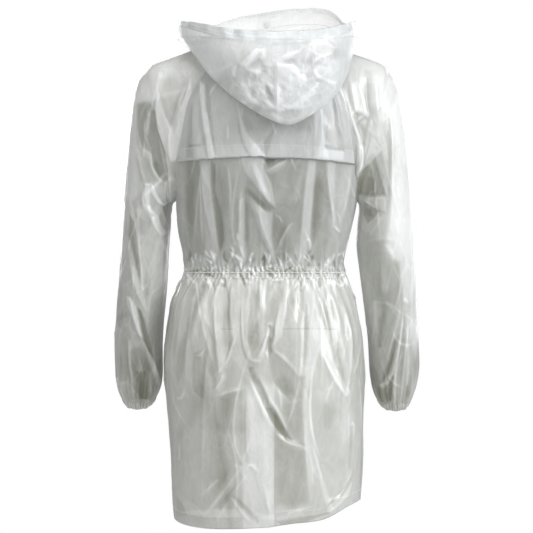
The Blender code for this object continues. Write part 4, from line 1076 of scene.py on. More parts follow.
# Patches on the flap: painted highlights and painted shade on its folds, and the painted shadow under the
# hood's right tip.
FLAP_LAPS_AND_PAINTED_LIGHT = charted_laps_and_painted_light(FLAP_STEP, 0.85, 1.0, """
0.5 2 1 199 78 203 84 206 110 210 140 213 158 207 158 203 130 199 100;
-0.3 -1 1.2 204 80 208 86 210 115 215 157 211 140 206 112;
0.15 0 1.5 190 97 198 92 201 125 205 157 195 157 191 130;
-0.35 -1 1.5 186 120 191 100 191 130 191 157 184 157;
0.4 2 1.5 236 100 241 118 247 135 256 147 264 157 250 157 243 145 239 128;
-0.3 -1 1 262 140 272 130 277 120 269 145 265 157 262 150;
0.4 1.5 1.5 312 100 320 100 322 130 327 158 312 158 313 130;
-0.2 -1 2 329 92 335 90 341 115 344 150 338 150 333 120;
-0.3 0 4.01 284 116 312 104 311 130 296 132;
0.3 0 1 322 147 343 150 343 158 322 158;
-0.6 0 0.6 323 145 344 148 344 150.5 323 147.5;
-0.45 0 0.6 187 143.5 200 143.5 200 146 187 146
""")
FLAP_HEM = 21.0  # the turned-up hem's height
HEM_GAP = 0.8  # between a hem's two layers
FLAP_SEAM_OFF, FLAP_HEM_OFF = 1.7, 3.6  # off the back at its seams, and how much more at its hem
FLAP_DROP = 4.0  # how much lower its hem hangs at the wearer's right
rows = skins["back"][0][-FLAP_ROWS:].copy()
flap_normals = grid_normals(rows)
flap_normals *= np.sign(flap_normals[0, QUARTER_COLUMNS, 1])
across = np.linspace(-1, 1, rows.shape[1])
down = np.linspace(1, 0, len(rows))[:, None]
inset = 1 - 0.012 * smoothstep(0.9, 1.0, np.abs(across))
centre = rows[:, QUARTER_COLUMNS, :1]
stand_off = FLAP_SEAM_OFF + FLAP_HEM_OFF * down**1.5 * (1 - across**4)
flap = rows + flap_normals * stand_off[..., None]
flap[..., 0] = (flap[..., 0] - centre) * inset + centre
flap[..., 2] -= FLAP_DROP * smoothstep(0.2, -1.0, across) * smoothstep(0.5, 1, down)
slack = scattered(41, 20, (-140, -190, 140, -60), 0, (20, 44), (0.5, 1.6))
flat, shown = flap[..., [0, 2]], facing(flap_normals, 1)
flap, white = settle(flap, flap_normals, [(flat, slack, shown)], smoothstep(0, 0.08, down),
                     laps_and_painted_light=[(flat, FLAP_LAPS_AND_PAINTED_LIGHT, shown)])


def row_at(grid, height, column):
    """The row of a grid this far up a column from its first row."""
    return int(np.searchsorted(length_along(grid[:, column]), height))


def turned_up(grid, normals, white, height, paler):
    """The grid with its lower edge turned up inside by this height, and its whiteness, which is this
    much paler where the film is doubled."""
    count = row_at(grid, height, grid.shape[1] // 2)
    inside = grid[1 : count + 1] - normals[1 : count + 1] * HEM_GAP
    milk_and_painted_light = np.concatenate([white[1 : count + 1][::-1], white])
    milk_and_painted_light[: 2 * count + 1] += paler
    return np.concatenate([inside[::-1], grid]), milk_and_painted_light


pale_film = frosted_film("flap_and_hood_film", (0.85, 0.87, 0.88), (0.215, 0.222, 0.19), opacity=0.8,
                         milkiness=0.58, gloss=0.2)
hemmed, milk_and_painted_light = turned_up(flap, flap_normals, white, FLAP_HEM, 0.14)
film_piece("storm_flap", hemmed, pale_film, milk_and_painted_light, ["back"])

# ---------------------------------------------------------------- skirt
# The skirt is gathered into the casing: two fronts, and two backs whose seam is open at the foot as a
# vent, with an underlap behind it. The hem is turned up and stitched, and caught up at the right.

# The hem's height round the coat, from the centre back (0) by the wearer's left (0.25) and the centre
# front (0.5) to the right (0.75). It is caught up at the wearer's right.
HEM = table("around height", """
0.00 -894;
0.10 -899;
0.25 -893;
0.40 -897;
0.50 -899;
0.62 -893;
0.70 -874;
0.76 -860;
0.84 -862;
0.90 -882;
0.96 -888;
1.00 -894
""")
HEM_UP = 3.0  # how much higher than that it hangs all round
HEM_LOWEST = -925.0
HEM_HEIGHT = 21.0  # of the turning
SKIRT_ROWS = 214
SKIRT_STEP = 1.835
SKIRT_ROUND = 1100.0  # about how far round the skirt is
VENT_COLUMN = -6  # the centre back seam, this many columns to the wearer's right
VENT_HEIGHT = 150.0
VENT_OFF = 1.8  # how far the vent's left edge stands off
UNDERLAP_COLUMNS = 24
UNDERLAP_BEHIND = 2.2
FACING_TOP = -620  # below this height the vent's facing makes the film paler
SKIRT_FOLDS = charted_folds(SKIRT_STEP, """
188 281 179 322 172 388 5 5 6 0.5;
197 281 188 330 184 398 6 5 7 0.6;
206 281 196 318 191 352 5 6 6 0.3;
208 330 204 400 200 512 5 6 10 0.4;
191 355 202 352 208 334 4 5 5 0.8;
214 282 215 330 219 380 7 7 5 0.6;
224 300 224 330 226 372 -4 6 6;
236 332 229 352 223 372 6 5 7 0.9;
223 370 219 382 211 392 6 5 7 0.9;
214 398 228 391 243 388 5 10 4 0.8;
207 350 210 372 214 392 -4 6 6 0.2;
231 281 230 300 229 330 5 5 5 0.4;
242 284 242 336 250 361 7 4 5 0.9;
268 322 262 346 252 362 6 5 4 0.9;
254 305 254 335 252 354 -5 6 6 0.2;
259 281 260 300 262 320 5 5 5 0.4;
265 328 269 323 273 330 4 3 3 0.9;
269 330 267 346 269 360 -7 3 4 0.5;
280 290 276 325 270 350 6 5 5 0.6;
270 348 284 361 298 375 6 12 5 0.8 1;
278 366 284 388 296 394 -7 12 12;
283 281 284 300 280 330 4 5 5 0.4;
297 281 293 312 290 345 5 5 5 0.4;
304 296 303 340 301 374 -6 4 5 0.5;
299 375 293 402 284 427 5 5 5 0.9;
302 377 303 430 308 487 6 10 5 0.6;
309 440 316 464 322 487 5 5 5 0.6;
308 446 311 470 311 488 3 4 4 0.6;
290 450 288 470 290 492 2 6 6;
244 363 257 396 271 428 4 7 3 0.9;
249 365 266 402 288 438 -2 4 4 0.3;
254 365 271 400 291 437 4 3 7 0.8;
271 427 285 440 303 445 6 9 4 0.9;
262 440 261 480 262 512 3 12 10;
247 384 246 430 249 470 5 4 10 0.5;
236 456 217 484 198 506 -1.2 7 7 0.2;
244 460 224 488 202 518 2.5 5 5 0.7;
238 480 224 497 207 517 -1.2 6 6 0.2;
252 465 239 482 228 496 3 5 5 0.7;
245 467 251 464 259 473 4 4 4 0.9;
232 492 243 505 257 519 -1.5 5 5 0.3;
228 494 240 508 250 522 2.5 4 4 0.6;
262 480 266 496 268 512 3 4 4 0.5;
172 396 180 398 183 386 4 4 4 0.9;
176 420 178 445 176 470 -2 7 7 0.2;
312 283 322 312 332 346 6 5 6 0.5;
325 283 336 312 344 345 6 5 5 0.5;
334 283 347 322 353 372 6 5 5 0.5;
321 350 333 378 346 395 6 7 4 0.9;
343 300 350 350 346 395 6 4 6 0.8;
338 335 341 362 345 386 -5 5 5 0.3;
352 378 358 360 362 338 4 4 4 0.7;
349 428 353 426 353 446 3 3 3 0.8;
328 508 342 490 356 462 5 4 5 0.7;
322 503 336 498 352 497 4 4 4 0.6;
338 470 346 455 352 430 -1.5 8 8;
282 514 296 508 318 504 3 4 4 0.5;
186 500 196 508 205 515 3 4 4 0.4
""")
# Patches on the skirt: painted highlights and painted shade on its folds, broad darker tones, and thin
# seam lines.
SKIRT_LAPS_AND_PAINTED_LIGHT = charted_laps_and_painted_light(SKIRT_STEP, 0.6, 0.7, """
-0.4 -1 2 200 280 205 290 197 310 190 330 185 345 182 370 176 385 172 370 178 345 184 330 190 308;
0.15 1 2 190 296 195 300 184 335 178 350 176 330;
0.1 0.5 2 205 290 207 310 204 335 196 345 192 352 190 325 196 305;
-0.35 -1.5 1 192 354 200 350 206 340 207 352 204 372 203 398 200 398 192 392 190 372;
0.3 1.5 1.2 215 286 222 288 222 330 224 350 222 372 217 372 217 345 213 330;
-0.4 -1.5 1.5 225 286 229 300 230 330 233 348 228 352 226 345 225 320;
0.2 0.5 2 209 280 214 300 212 340 214 385 207 385 208 340 208 300;
0.1 0 2 230 280 246 280 245 330 243 350 240 385 228 392 226 380 234 350 232 320;
0.4 1.5 1.2 247 280 250 280 248 300 246 340 251 358 258 360 254 363 247 358 244 342 244 310;
-0.25 -1 2 251 290 258 290 256 320 252 340 250 352 247 340 248 320;
0.4 1.5 1.2 259 280 265 280 262 300 256 320 252 330 254 310;
-0.15 -0.5 1.5 266 280 282 280 280 300 272 318 268 325 262 345 256 358 252 354 256 330 262 305;
0.4 1.5 1 267 325 262 345 256 362 259 362 264 350 268 335;
0.4 1.5 1 283 280 287 280 284 310 280 335 271 348 270 345 273 335 273 322 280 305;
-0.45 -1.5 1.2 267 325 272 324 274 335 271 350 268 362 267 345;
-0.1 0 2 286 282 299 282 300 320 299 360 296 376 290 365 284 350 282 340 285 310;
-0.4 -1.5 2 270 349 274 352 282 358 290 365 296 375 303 376 301 396 290 400 280 392 272 382 268 365;
0.25 1 1.2 303 280 308 310 306 335 302 360 299 376 297 374 300 350 302 320;
0.55 0.5 2 308 282 318 300 322 330 330 345 335 370 345 385 350 392 345 396 338 388 326 365 318 352 308
385 304 396 303 370 308 335;
-0.3 -1 1.5 320 280 326 300 331 330 338 355 342 378 345 392 340 380 334 360 328 335 323 310;
0.3 1 1.2 328 280 334 300 340 330 346 360 350 385 345 385 341 360 334 330;
-0.2 0 3 336 283 344 290 352 320 358 350 360 380 354 372 352 350 346 320;
0.4 1.5 1 322 355 328 360 340 385 345 392 348 380 350 395 344 397 335 385 326 365;
-0.24 0 5 204 395 212 394 228 391 243 388 247 400 247 428 238 432 215 428 204 424;
-0.15 0 8 203 425 247 428 250 460 240 485 225 500 205 480;
0.3 0.5 1.2 244 370 248 376 256 392 262 402 268 415 272 425 272 460 272 500 268 508 262 495 256 478 250
465 249 440 246 400;
-0.6 -1.5 0.8 247 366 252 366 258 378 264 390 268 402 272 405 277 412 284 426 292 438 286 440 278 432 270
420 264 408 256 392 250 378;
-0.55 -1 0.7 264 406 271 406 278 416 283 426 290 437 284 436 275 426 268 416;
0.4 1.5 0.8 266 394 273 402 280 413 285 425 284 428 277 418 270 407;
0.3 1.5 1 283 426 290 434 294 440 303 445 303 448 292 444 286 440;
-0.4 -1 1 288 440 303 442 304 446 292 444;
-0.3 0 5 283 400 300 396 302 430 300 440 290 436 284 424 280 410;
-0.34 0 5 273 410 282 440 303 450 306 480 306 500 290 506 276 500 273 460;
0.45 1 1.5 303 388 308 400 312 440 318 465 326 490 332 508 326 508 318 480 311 470 308 490 306 470 303
440;
-0.25 0 3 322 400 334 410 330 430 322 425;
0.3 0.5 3 340 395 350 395 352 430 350 470 346 480 342 450;
-0.3 -1 1 349 427 354 427 353 440 350 470 347 470 350 445;
-0.12 0 3.5 225 458 232 458 222 480 213 500 205 512 201 508 208 495 216 478;
-0.13 0 3 232 485 238 480 226 500 214 510 206 518 203 516 214 500 224 490;
0.2 1 1 232 462 248 466 240 478 228 490 214 503 203 518 200 514 212 500 222 482;
-0.3 -1 1 230 494 234 494 246 505 258 518 256 522 244 512;
0.15 0 3 238 488 250 470 258 480 262 500 262 505 245 500;
0.6 1.2 0.8 326 510 333 506 345 492 352 483 350 494 338 506 330 511;
-0.6 -1.2 0.8 322 508 330 503 344 488 350 480 343 487 331 500;
0.25 0.5 1.5 255 510 275 514 300 507 300 513 278 517 258 517;
-0.55 -1 0.8 276 519 300 515 328 511 328 513 300 521 280 523;
0.25 0 2 176 496 190 503 196 512 185 512;
-0.5 -0.4 0.5 220 327.4 232 327.4 232 328.6 220 328.6;
-0.5 -0.4 0.5 281 327.4 305 327.6 337 328.6 337 329.6 305 328.8 281 328.6;
-0.35 0 1 173 500 180 505 186 517 174 520
""")
SKIRT_FRONT_FOLDS = folds_of("""
60 -444 74 -560 70 -680 7 12 10 0.5;
110 -444 124 -600 118 -740 -7 12 12 0.2;
90 -450 96 -540 92 -640 6 9 9 0.5;
-56 -444 -70 -550 -66 -660 8 10 12 0.5;
-104 -444 -122 -580 -128 -720 -7 12 12 0.2;
-88 -450 -92 -560 -84 -650 5 9 9 0.5;
36 -500 46 -700 90 -860 7 12 10 0.6 1;
-40 -540 -52 -730 -96 -870 7 10 12 0.6 1;
30 -600 50 -660 84 -700 6 14 6 0.8 1;
-30 -690 -56 -742 -90 -770 6 6 14 0.8 1;
130 -460 150 -560 154 -660 6 9 9 0.5;
-130 -460 -146 -560 -150 -660 6 9 9 0.5;
110 -760 116 -820 114 -880 -5 12 12 0.2;
-116 -740 -118 -800 -112 -860 -5 12 12 0.2;
70 -790 74 -840 68 -885 5 8 8 0.6;
-66 -800 -74 -840 -80 -880 5 8 8 0.6
""")


def skirt_grid(where):
    """The back or the front below the waist casing, from the hem up."""
    heights = np.linspace(HEM_LOWEST, WAIST - CASING_HEIGHT / 2, 90)
    dense = np.array([body_row(z, where) for z in heights])
    hem = through(HEM["around"], HEM["height"], around_of(where) % 1) + HEM_UP
    top = heights[-1]
    share = np.linspace(1, 0, SKIRT_ROWS)
    grid = np.empty((SKIRT_ROWS, dense.shape[1], 3))
    for column in range(dense.shape[1]):
        wanted = top + (hem[column] - top) * share
        grid[:, column] = between(wanted, heights, dense[:, column])
        grid[:, column, 2] = wanted
    return grid


grids = [skirt_grid(where) for where in ("back", "front")]
for where, grid, normal in zip(("back", "front"), grids, closed_normals(*grids)):
    folds, seed, share, lap_and_painted_light_share = (
        (SKIRT_FOLDS, 51, 0.72, 1) if where == "back" else (SKIRT_FRONT_FOLDS, 52, 1, 0.3)
    )
    normal[-1] = level(normal[-1])
    flat, shown = grid[..., [0, 2]], facing(normal, WAY[where])
    flare = (around_of(where) + 0.5) % 1 * SKIRT_ROUND - SKIRT_ROUND / 2
    sides = np.stack(np.broadcast_arrays(flare, flat[..., 1]), axis=-1)
    slack = scattered(seed, 30, (-185, -890, 185, -460), 0, (30, 90), (0.3, 0.8))
    drapes = scattered(seed + 6, 12, (-180, -800, 180, -470), 0, (160, 330), (1.6, 3.6), (14, 30), 6)
    beside = scattered(seed + 2, 22, (-330, -880, -220, -450), 0, (90, 240), (1.5, 4.0), (8, 20), 8)
    other = scattered(seed + 4, 22, (220, -880, 330, -450), 0, (90, 240), (1.5, 4.0), (8, 20), 8)
    from_casing = smoothstep(0, CASING_CALM, WAIST - CASING_HEIGHT / 2 - grid[..., 2])
    parts = [(flat, folds, share * shown), (flat, slack, shown), (flat, drapes, shown),
             (sides, beside, 0.8), (sides, other, 0.8)]
    grid, white = settle(grid, normal, parts, from_casing, beside_middle(grid, where),
                         laps_and_painted_light=[(flat, SKIRT_LAPS_AND_PAINTED_LIGHT, lap_and_painted_light_share * shown)])
    draw_in("skirt_" + where, where, grid, normal, flat, white)
for rows in (np.s_[:, 0], np.s_[:, -1]):
    joined = (skins["skirt_back"][0][rows] + skins["skirt_front"][0][rows]) / 2
    skins["skirt_back"][0][rows] = skins["skirt_front"][0][rows] = joined

skirt_film = frosted_film("skirt_film", (0.855, 0.866, 0.855), (0.22, 0.221, 0.168), opacity=0.88,
                          milkiness=0.55)
vent = QUARTER_COLUMNS + VENT_COLUMN
for name, where, columns, cut in (
    ("skirt_back_right", "skirt_back", np.s_[: vent + 1], (0.27, 0.49, 0.125)),
    ("skirt_back_left", "skirt_back", np.s_[vent:], (0.30, 0.50, 0.142)),
    ("skirt_front_right", "skirt_front", np.s_[: middle + 1], (0.30, 0.49, 0.138)),
    ("skirt_front_left", "skirt_front", np.s_[middle:], (0.30, 0.49, 0.138)),
):
    grid, normal = (values[:, columns] for values in skins[where])
    if name == "skirt_back_left":
        foot = smoothstep(VENT_HEIGHT, VENT_HEIGHT - 40, grid[..., 2] - grid[:1, :, 2])
        free = foot * smoothstep(14, 0, np.arange(grid.shape[1]))
        grid = grid + normal * VENT_OFF * free[..., None]
    hemmed, milk_and_painted_light = turned_up(grid, normal, whiteness_and_painted_light[where][:, columns], HEM_HEIGHT, 0.07)
    if name == "skirt_back_left":
        lap = smoothstep(UNDERLAP_COLUMNS + 1, UNDERLAP_COLUMNS - 1, np.arange(grid.shape[1]))
        milk_and_painted_light += 0.3 * lap * smoothstep(FACING_TOP, FACING_TOP - 20, hemmed[..., 2])
    film_piece(name, hemmed, skirt_film, milk_and_painted_light, ["waist_casing"])
edge = skins["skirt_back"][0][:, vent, 2]
foot_rows = int(np.searchsorted(edge - edge[0], VENT_HEIGHT))
window = np.s_[2:foot_rows, vent : vent + UNDERLAP_COLUMNS + 1]
grid, normal = (values[window] for values in skins["skirt_back"])
film_piece("vent_underlap", grid - normal * UNDERLAP_BEHIND, pale_film, np.full(grid.shape[:2], 0.3),
           ["skirt_back_right"])

# ---------------------------------------------------------------- waist casing
# A doubled band is sewn round the waist inside the gathers, and the elastic in it is held by one line
# of thick white stitching. It ruffles above and below that line, and is open under the placket.

CASING_COLUMNS = 1200
CASING_ROWS = 21
CASING_OVER = 0.24  # how far its film laps over the panels above and below, as a share of its height
CASING_WAVES, CASING_WAVE = 96, 0.8  # how many ruffles, and how high they stand
CASING_OUT, CASING_STITCHED_IN = 0.9, 1.3  # how far out it stands, and in along its stitching


def out_of_loop(line):
    """Which way is level and out of a loop round the waist, at each of its points."""
    out = unit(np.cross(unit(np.gradient(line, axis=0)), [0, 0, 1]))
    return out * np.sign((out * (line - line.mean(axis=0))).sum())


around = np.linspace(0.5, 1.5, CASING_COLUMNS + 1)
ragged = np.random.default_rng(61)
marks = np.concatenate([[0], np.cumsum(ragged.uniform(0.35, 1.8, CASING_WAVES))])
places = np.linspace(0, marks[-1], CASING_COLUMNS + 1)
turns = 2 * math.pi * np.interp(places, marks, np.arange(CASING_WAVES + 1))
ruffles = [np.interp(places, marks, ragged.uniform(0.1, 1.9, CASING_WAVES + 1)) for _ in range(2)]
rows, milk_and_painted_light, clear = [], [], []
for t in np.linspace(-CASING_OVER, 1 + CASING_OVER, CASING_ROWS):
    height = WAIST + CASING_HEIGHT * (t - 0.5)
    behind, before = body_row(height, "back"), body_row(height, "front")
    loop = [before[QUARTER_COLUMNS::-1], behind[1:], before[-2 : QUARTER_COLUMNS - 1 : -1]]
    line = evenly(np.concatenate(loop), np.linspace(0.0004, 0.9996, CASING_COLUMNS + 1))
    out = out_of_loop(line)
    ruffle, pale = gathers(around, np.full(len(around), height))
    lobe = math.sin(math.pi * min(max(t, 0), 1))
    uneven = ruffles[0] * (1 - t) + ruffles[1] * t
    wave = CASING_WAVE * np.sin(turns + 2.2 * math.sin(5 * t) + uneven) * lobe
    pinch, pinch_pale = pinches(line, out)
    drawn_in = -CASING_STITCHED_IN * math.exp(-(((t - 0.5) / 0.12) ** 2))
    stands = ruffle + pinch + (wave * uneven + drawn_in) * beside_placket(around)
    stands = np.convolve(np.pad(stands, 2, mode="edge"), [0.1, 0.2, 0.4, 0.2, 0.1], mode="valid")
    over = max(-t, t - 1, 0) / CASING_OVER
    rows.append(line + out * (stands + CASING_OUT - 0.4 * over)[:, None])
    # painted highlight on the ruffles' crests and painted shade between, with the gathers' and puckers'
    # painted highlights; the band is darker towards its top, and paler where it lies over the panels
    milk_and_painted_light.append(0.12 * wave * uneven + pale + pinch_pale - 0.12 - 0.22 * min(max(t, 0), 1) + over)
    clear.append(np.full(len(line), 0.85 * over))
casing = np.array(rows)
film_piece("waist_casing", casing, skirt_film, milk_and_painted_light,
           ["back", "front_left", "front_right"], thin=clear)

# ---------------------------------------------------------------- hood and brim
# The hood lies back over the shoulders as an open pouch: two halves joined by a seam down the middle, and
# a doubled brim with elastic in its channels, stitched down. It is crumpled where it hangs.

# Rings of the hood, from the neck seam over the roll, down the pouch's near wall, round its bottom and
# up its far wall to the rim. Half width, depths, and heights behind, beside and in front of the neck.
HOOD = table("share half back front z_back z_side z_front", """
0.00 80 76 74 0 10 -50;
0.12 93 93 82 18 22 -18;
0.32 126 134 90 -60 20 14;
0.48 148 160 96 -150 6 40;
0.56 157 180 98 -160 8 52;
0.74 170 203 100 -74 18 68;
0.90 172 200 99 -18 36 80;
1.00 170 190 97 7 45 87
""")
HOOD_SQUARE = 2.3
# How far down each place of the pouch hangs, and how far up each place of the chin's edge stands, from
# the wearer's right (-1) to the left (1), as a share of the lowest and of the highest.
POUCH = table("across low", """
-1.0 0;
-0.93 0.30;
-0.85 0.48;
-0.65 0.72;
-0.40 0.89;
-0.14 1.0;
0.05 0.95;
0.28 0.83;
0.58 0.62;
0.80 0.38;
0.92 0.16;
1.0 0
""")
CHIN = table("across high", """
-1.0 0;
-0.88 0.22;
-0.76 0.76;
-0.6 0.98;
-0.4 1.0;
-0.2 0.96;
0.05 0.81;
0.30 0.62;
0.65 0.16;
1.0 0
""")
HOOD_SEAM_SHIFT = -19.0  # the pouch hangs a little to the wearer's right
HOOD_STEP = 1.79
HOOD_CLEARANCE = 6.0  # between the pouch and the shoulders that it lies on
HOOD_COLUMNS = 150  # on each side of the centre seam
HOOD_ROWS = 150
BRIM_FROM = 0.89  # the share of the hood where its brim begins
BRIM_CHANNELS, BRIM_WALL = 3, 1.2  # for its elastic, and between its two layers
SHOULDER_ROWS = 110  # the rings of a sleeve that the hood can reach
HOOD_FOLDS = charted_folds(HOOD_STEP, """
278 56 277 80 275 122 4 4 4 0.9;
258 47 250 56 243 63 6 7 5 0.8;
265 46 262 54 258 62 5 4 6 0.8;
278 62 286 54 298 51 6 5 6 0.7;
232 64 231 70 232 76 5 3 3 0.9;
240 80 246 92 252 98 5 6 5 0.7;
252 97 264 100 275 108 5 5 5 0.6;
275 108 300 106 326 97 6 7 6 0.6;
258 72 252 84 248 92 5 5 5 0.7;
266 82 271 90 275 99 6 4 5 0.9;
262 88 267 94 270 98 -4 4 4 0.3;
279 82 290 72 300 63 5 4 4 0.8;
279 84 294 78 303 74 4 3 3 0.9;
279 85 292 85 301 82 4 3 3 0.8;
280 79 284 70 286 62 4 3 4 0.8;
303 74 304 80 299 84 4 3 3 0.8;
312 70 318 76 327 80 5 4 4 0.9;
326 79 334 84 330 93 5 4 4 0.9;
296 92 300 96 297 104 4 5 4 0.5;
276 110 284 114 297 116 3 4 4 0.6;
270 112 276 117 283 122 3 3 3 0.6;
194 68 206 70 220 66 3 5 5 0.5;
205 76 222 80 240 76 -3 8 8;
310 58 320 60 330 58 3 6 6 0.3;
340 60 334 70 326 76 3 5 5 0.5;
232 96 244 104 258 112 3 6 6 0.3;
288 58 284 70 282 84 -4 5 5 0.2
""")
# Patches on the hood: painted highlights on its crumpled facets and painted shade between them.
HOOD_LAPS_AND_PAINTED_LIGHT = charted_laps_and_painted_light(HOOD_STEP, 0.9, 1.3, """
0.45 1.5 1 257 48 259 50 252 60 246 65 240 66 238 62 246 56 252 50;
0.4 1 0.8 259 50 265 47 264 55 261 60 259 56;
-0.25 -1 1.2 250 62 258 58 262 65 268 68 262 72 252 68 246 70;
0.5 0.8 0.6 232 65 234.5 64 234 76 232 74;
0.45 1.5 1 274 62 278 58 286 54 296 51 297 52 288 58 280 61 278 64 279 75 278 90 277 100 275 104 273 100
275 90 276 80 275 70;
-0.3 -1 1 282 60 294 58 296 66 292 64 285 64;
0.45 2 1 279 64 286 65 293 66 298 72 303 76 304 81 298 84 292 82 284 86 279 84 278 75;
-0.15 0 3 298 58 316 60 318 70 310 68 300 68;
0.4 1.5 0.8 312 70 316 71 326 78 337 79 334 84 330 82 322 78 316 77;
0.15 0 4 318 58 345 55 345 76 335 80 322 70;
0.35 1 1 300 96 312 86 320 80 308 95 302 102 290 108 280 110 290 104;
-0.25 -1 1.5 265 106 275 108 290 108 300 110 296 116 285 118 272 112;
-0.3 -1 1 262 86 266 83 272 92 275 104 270 100 265 94;
0.45 1.2 0.8 266 82 270 84 274 94 273 97 269 90;
0.35 1 1.2 241 82 247 86 250 96 257 101 250 101 244 96 239 88;
-0.25 -1 1.2 250 78 260 70 266 70 258 82 252 92 249 90;
-0.3 0 8 312 40 330 38 338 50 332 62 316 62;
0.2 0 5 186 38 236 40 236 62 214 74 200 66;
0.25 0.8 1 200 66 216 67 232 62 232 64 217 69 202 68;
0.35 1 1 262 98 272 104 276 108 285 108 278 111 268 108;
-0.25 -0.5 1 237 102 250 101 262 106 272 112 262 112 246 108
""")


def hood_ring(row, angle):
    """One ring of the hood. The angle is 0 behind the neck, positive to the wearer's left."""
    share, half, back, front, z_back, z_side, z_front = (values[row] for values in HOOD.values())
    sine, cosine = np.sin(angle), np.cos(angle)
    across = np.sign(sine) * np.abs(sine) ** (2 / HOOD_SQUARE)
    y = np.where(cosine > 0, back, -front) * np.abs(cosine) ** (2 / HOOD_SQUARE)
    pouch = max(0.0, 1 - abs(share - 0.52) / 0.42)
    low = cosine**2 * (1 - pouch) + through(POUCH["across"], POUCH["low"], across) * pouch
    high = cosine**2 * (1 - share**2) + through(CHIN["across"], CHIN["high"], across) * share**2
    z = z_side + np.where(cosine > 0, (z_back - z_side) * low, (z_front - z_side) * high)
    shift = HOOD_SEAM_SHIFT * smoothstep(0.1, 0.5, share) * smoothstep(0.0, 1.0, cosine)
    return np.stack([half * across + shift, y, z], axis=1)


def neckline(angle):
    """The neck seam at these angles: level with the tops of the back, the sleeves and the fronts."""
    back = body_row(None, "back", 1.0)
    front = body_row(None, "front", 1.0)[::-1]
    left, right = neck_edge(1), neck_edge(-1)[::-1]
    half = QUARTER_COLUMNS
    loop = np.concatenate([back[half:], left[1:], front[1:], right[1:], back[1 : half + 1]])
    around = np.unwrap(np.arctan2(loop[:, 0], loop[:, 1]))
    return between(angle % (2 * math.pi), around, loop)


def covered_by_hood(skins, sleeves, flap):
    """The outside of the coat where the hood lies on it, as (points, faces), from every third point."""
    points, faces = [], []
    for grid, outside, closed in (
        (*(values[:SHOULDER_ROWS] for values in sleeves[1]), True),
        (*(values[:SHOULDER_ROWS] for values in sleeves[-1]), True),
        (flap, skins["back"][1][-len(flap) :], False),
        (*(values[-len(flap) :] for values in skins["front"]), False),
    ):
        grid, outside = grid[::-3][::-1, ::2], outside[::-3][::-1, ::2]
        turn = grid_normals(grid, closed)
        quads = grid_faces(*grid.shape[:2], closed) + sum(len(p) for p in points)
        points.append(grid.reshape(-1, 3))
        faces += (quads if (turn * outside).sum() > 0 else quads[:, ::-1]).tolist()
    return [tuple(p) for p in np.concatenate(points)], faces


def eased(rows):
    """Each row but the first and the last drawn half way to its neighbours."""
    return np.concatenate([rows[:1], (rows[:-2] + 2 * rows[1:-1] + rows[2:]) / 4, rows[-1:]])


def hood_grid(shares, covered):
    """The hood from the centre front by the wearer's right, the back and the left to the centre front.
    covered is what its near wall lies on, as (points, faces)."""
    angle = np.linspace(-math.pi, math.pi, 2 * HOOD_COLUMNS + 1)
    inside = np.clip(angle, -math.pi + 1e-6, math.pi - 1e-6)
    control = np.array([hood_ring(row, inside) for row in range(len(HOOD["share"]))])
    control[0] = neckline(inside) + [0, 0, 0.5]
    grid = through(HOOD["share"], control, shares)
    tree = BVHTree.FromPolygons(*covered)
    push = np.zeros(grid.shape)
    for row in range(1, len(shares)):
        wanted = HOOD_CLEARANCE * smoothstep(0.0, 0.1, shares[row])
        for column in range(grid.shape[1]):
            place, normal, _, _ = tree.find_nearest(grid[row, column])
            clear = (grid[row, column] - np.array(place)) @ np.array(normal)
            if clear < wanted:
                push[row, column] = np.array(normal) * (wanted - clear)
    for _ in range(3):
        spread = eased(push)
        longer = np.linalg.norm(spread, axis=-1) > np.linalg.norm(push, axis=-1)
        push = np.where(longer[..., None], spread, push)
    return grid + push


shares = np.linspace(0, 1, HOOD_ROWS)
grid = hood_grid(shares, covered_by_hood(skins, sleeves, flap))
normal = grid_normals(grid)
normal *= np.sign(normal[-1, HOOD_COLUMNS, 1])
normal[:, 0] = normal[:, -1] = unit(normal[:, 0] + normal[:, -1])
normal[0] = level(normal[0])
flat = grid[..., [0, 2]]
behind = smoothstep(0.5, 0.58, shares)[:, None] * smoothstep(1.0, 0.9, shares)[:, None]
slack = scattered(71, 16, (-130, -150, 100, 0), 35, (24, 60), (0.6, 1.6), (5, 12))
drapes = scattered(73, 6, (-130, -160, 130, 0), 30, (60, 120), (1.5, 3.5), (10, 24))
roll = scattered(72, 26, (-160, -40, 160, 90), 60, (30, 80), (0.6, 1.6), (6, 16))
in_front = smoothstep(0.02, 0.1, shares)[:, None] * smoothstep(0.98, 0.9, shares)[:, None]
shown = behind * facing(normal, 1)
shares_shown = ((HOOD_FOLDS, 0.4), (slack, 0.7), (drapes, 0.6))
parts = [(flat, some, share * shown) for some, share in shares_shown]
parts += [(flat, roll, in_front * facing(normal, -1))]
pressed = (  # a seed, a box of x and z, how far apart the facets are and how high their edges stand
    (81, (-74, -108, -10, -44), 9.5, 2.4),
    (82, (-8, -142, 60, -46), 18.0, 3.0),
    (83, (-132, -150, 100, -40), 24.0, 2.0),
    (84, (-140, -84, -36, 24), 26.0, 3.4),
)
grid, white = settle(grid, normal, parts, np.ones(grid.shape[:2]), laps_and_painted_light=[(flat, HOOD_LAPS_AND_PAINTED_LIGHT, shown)],
                     facets=[(flat, facet, shown) for facet in pressed])
column = np.arange(grid.shape[1])
grid = grid + normal * (0.8 * hump(column - HOOD_COLUMNS, 1.2) * behind)[..., None]
white = white + 0.2 * hump(column - HOOD_COLUMNS, 1.4) * behind
from_brim = smoothstep(BRIM_FROM, 0.96, shares)[:, None]
from_chin = smoothstep(0, 9, column) * smoothstep(0, 9, column[::-1])
brim_wave = 0.9 * np.sin(column * 2 * math.pi / 11 + 2 * np.sin(column / 23))
brim_wave = brim_wave + 0.8 * np.sin(column / 7.3)
grid = grid + normal * (brim_wave * from_brim * from_chin)[..., None]
hood = (grid, normal)
round_front = np.abs(column / HOOD_COLUMNS - 1)
band = 18 + 14 * smoothstep(0, 0.45, round_front)
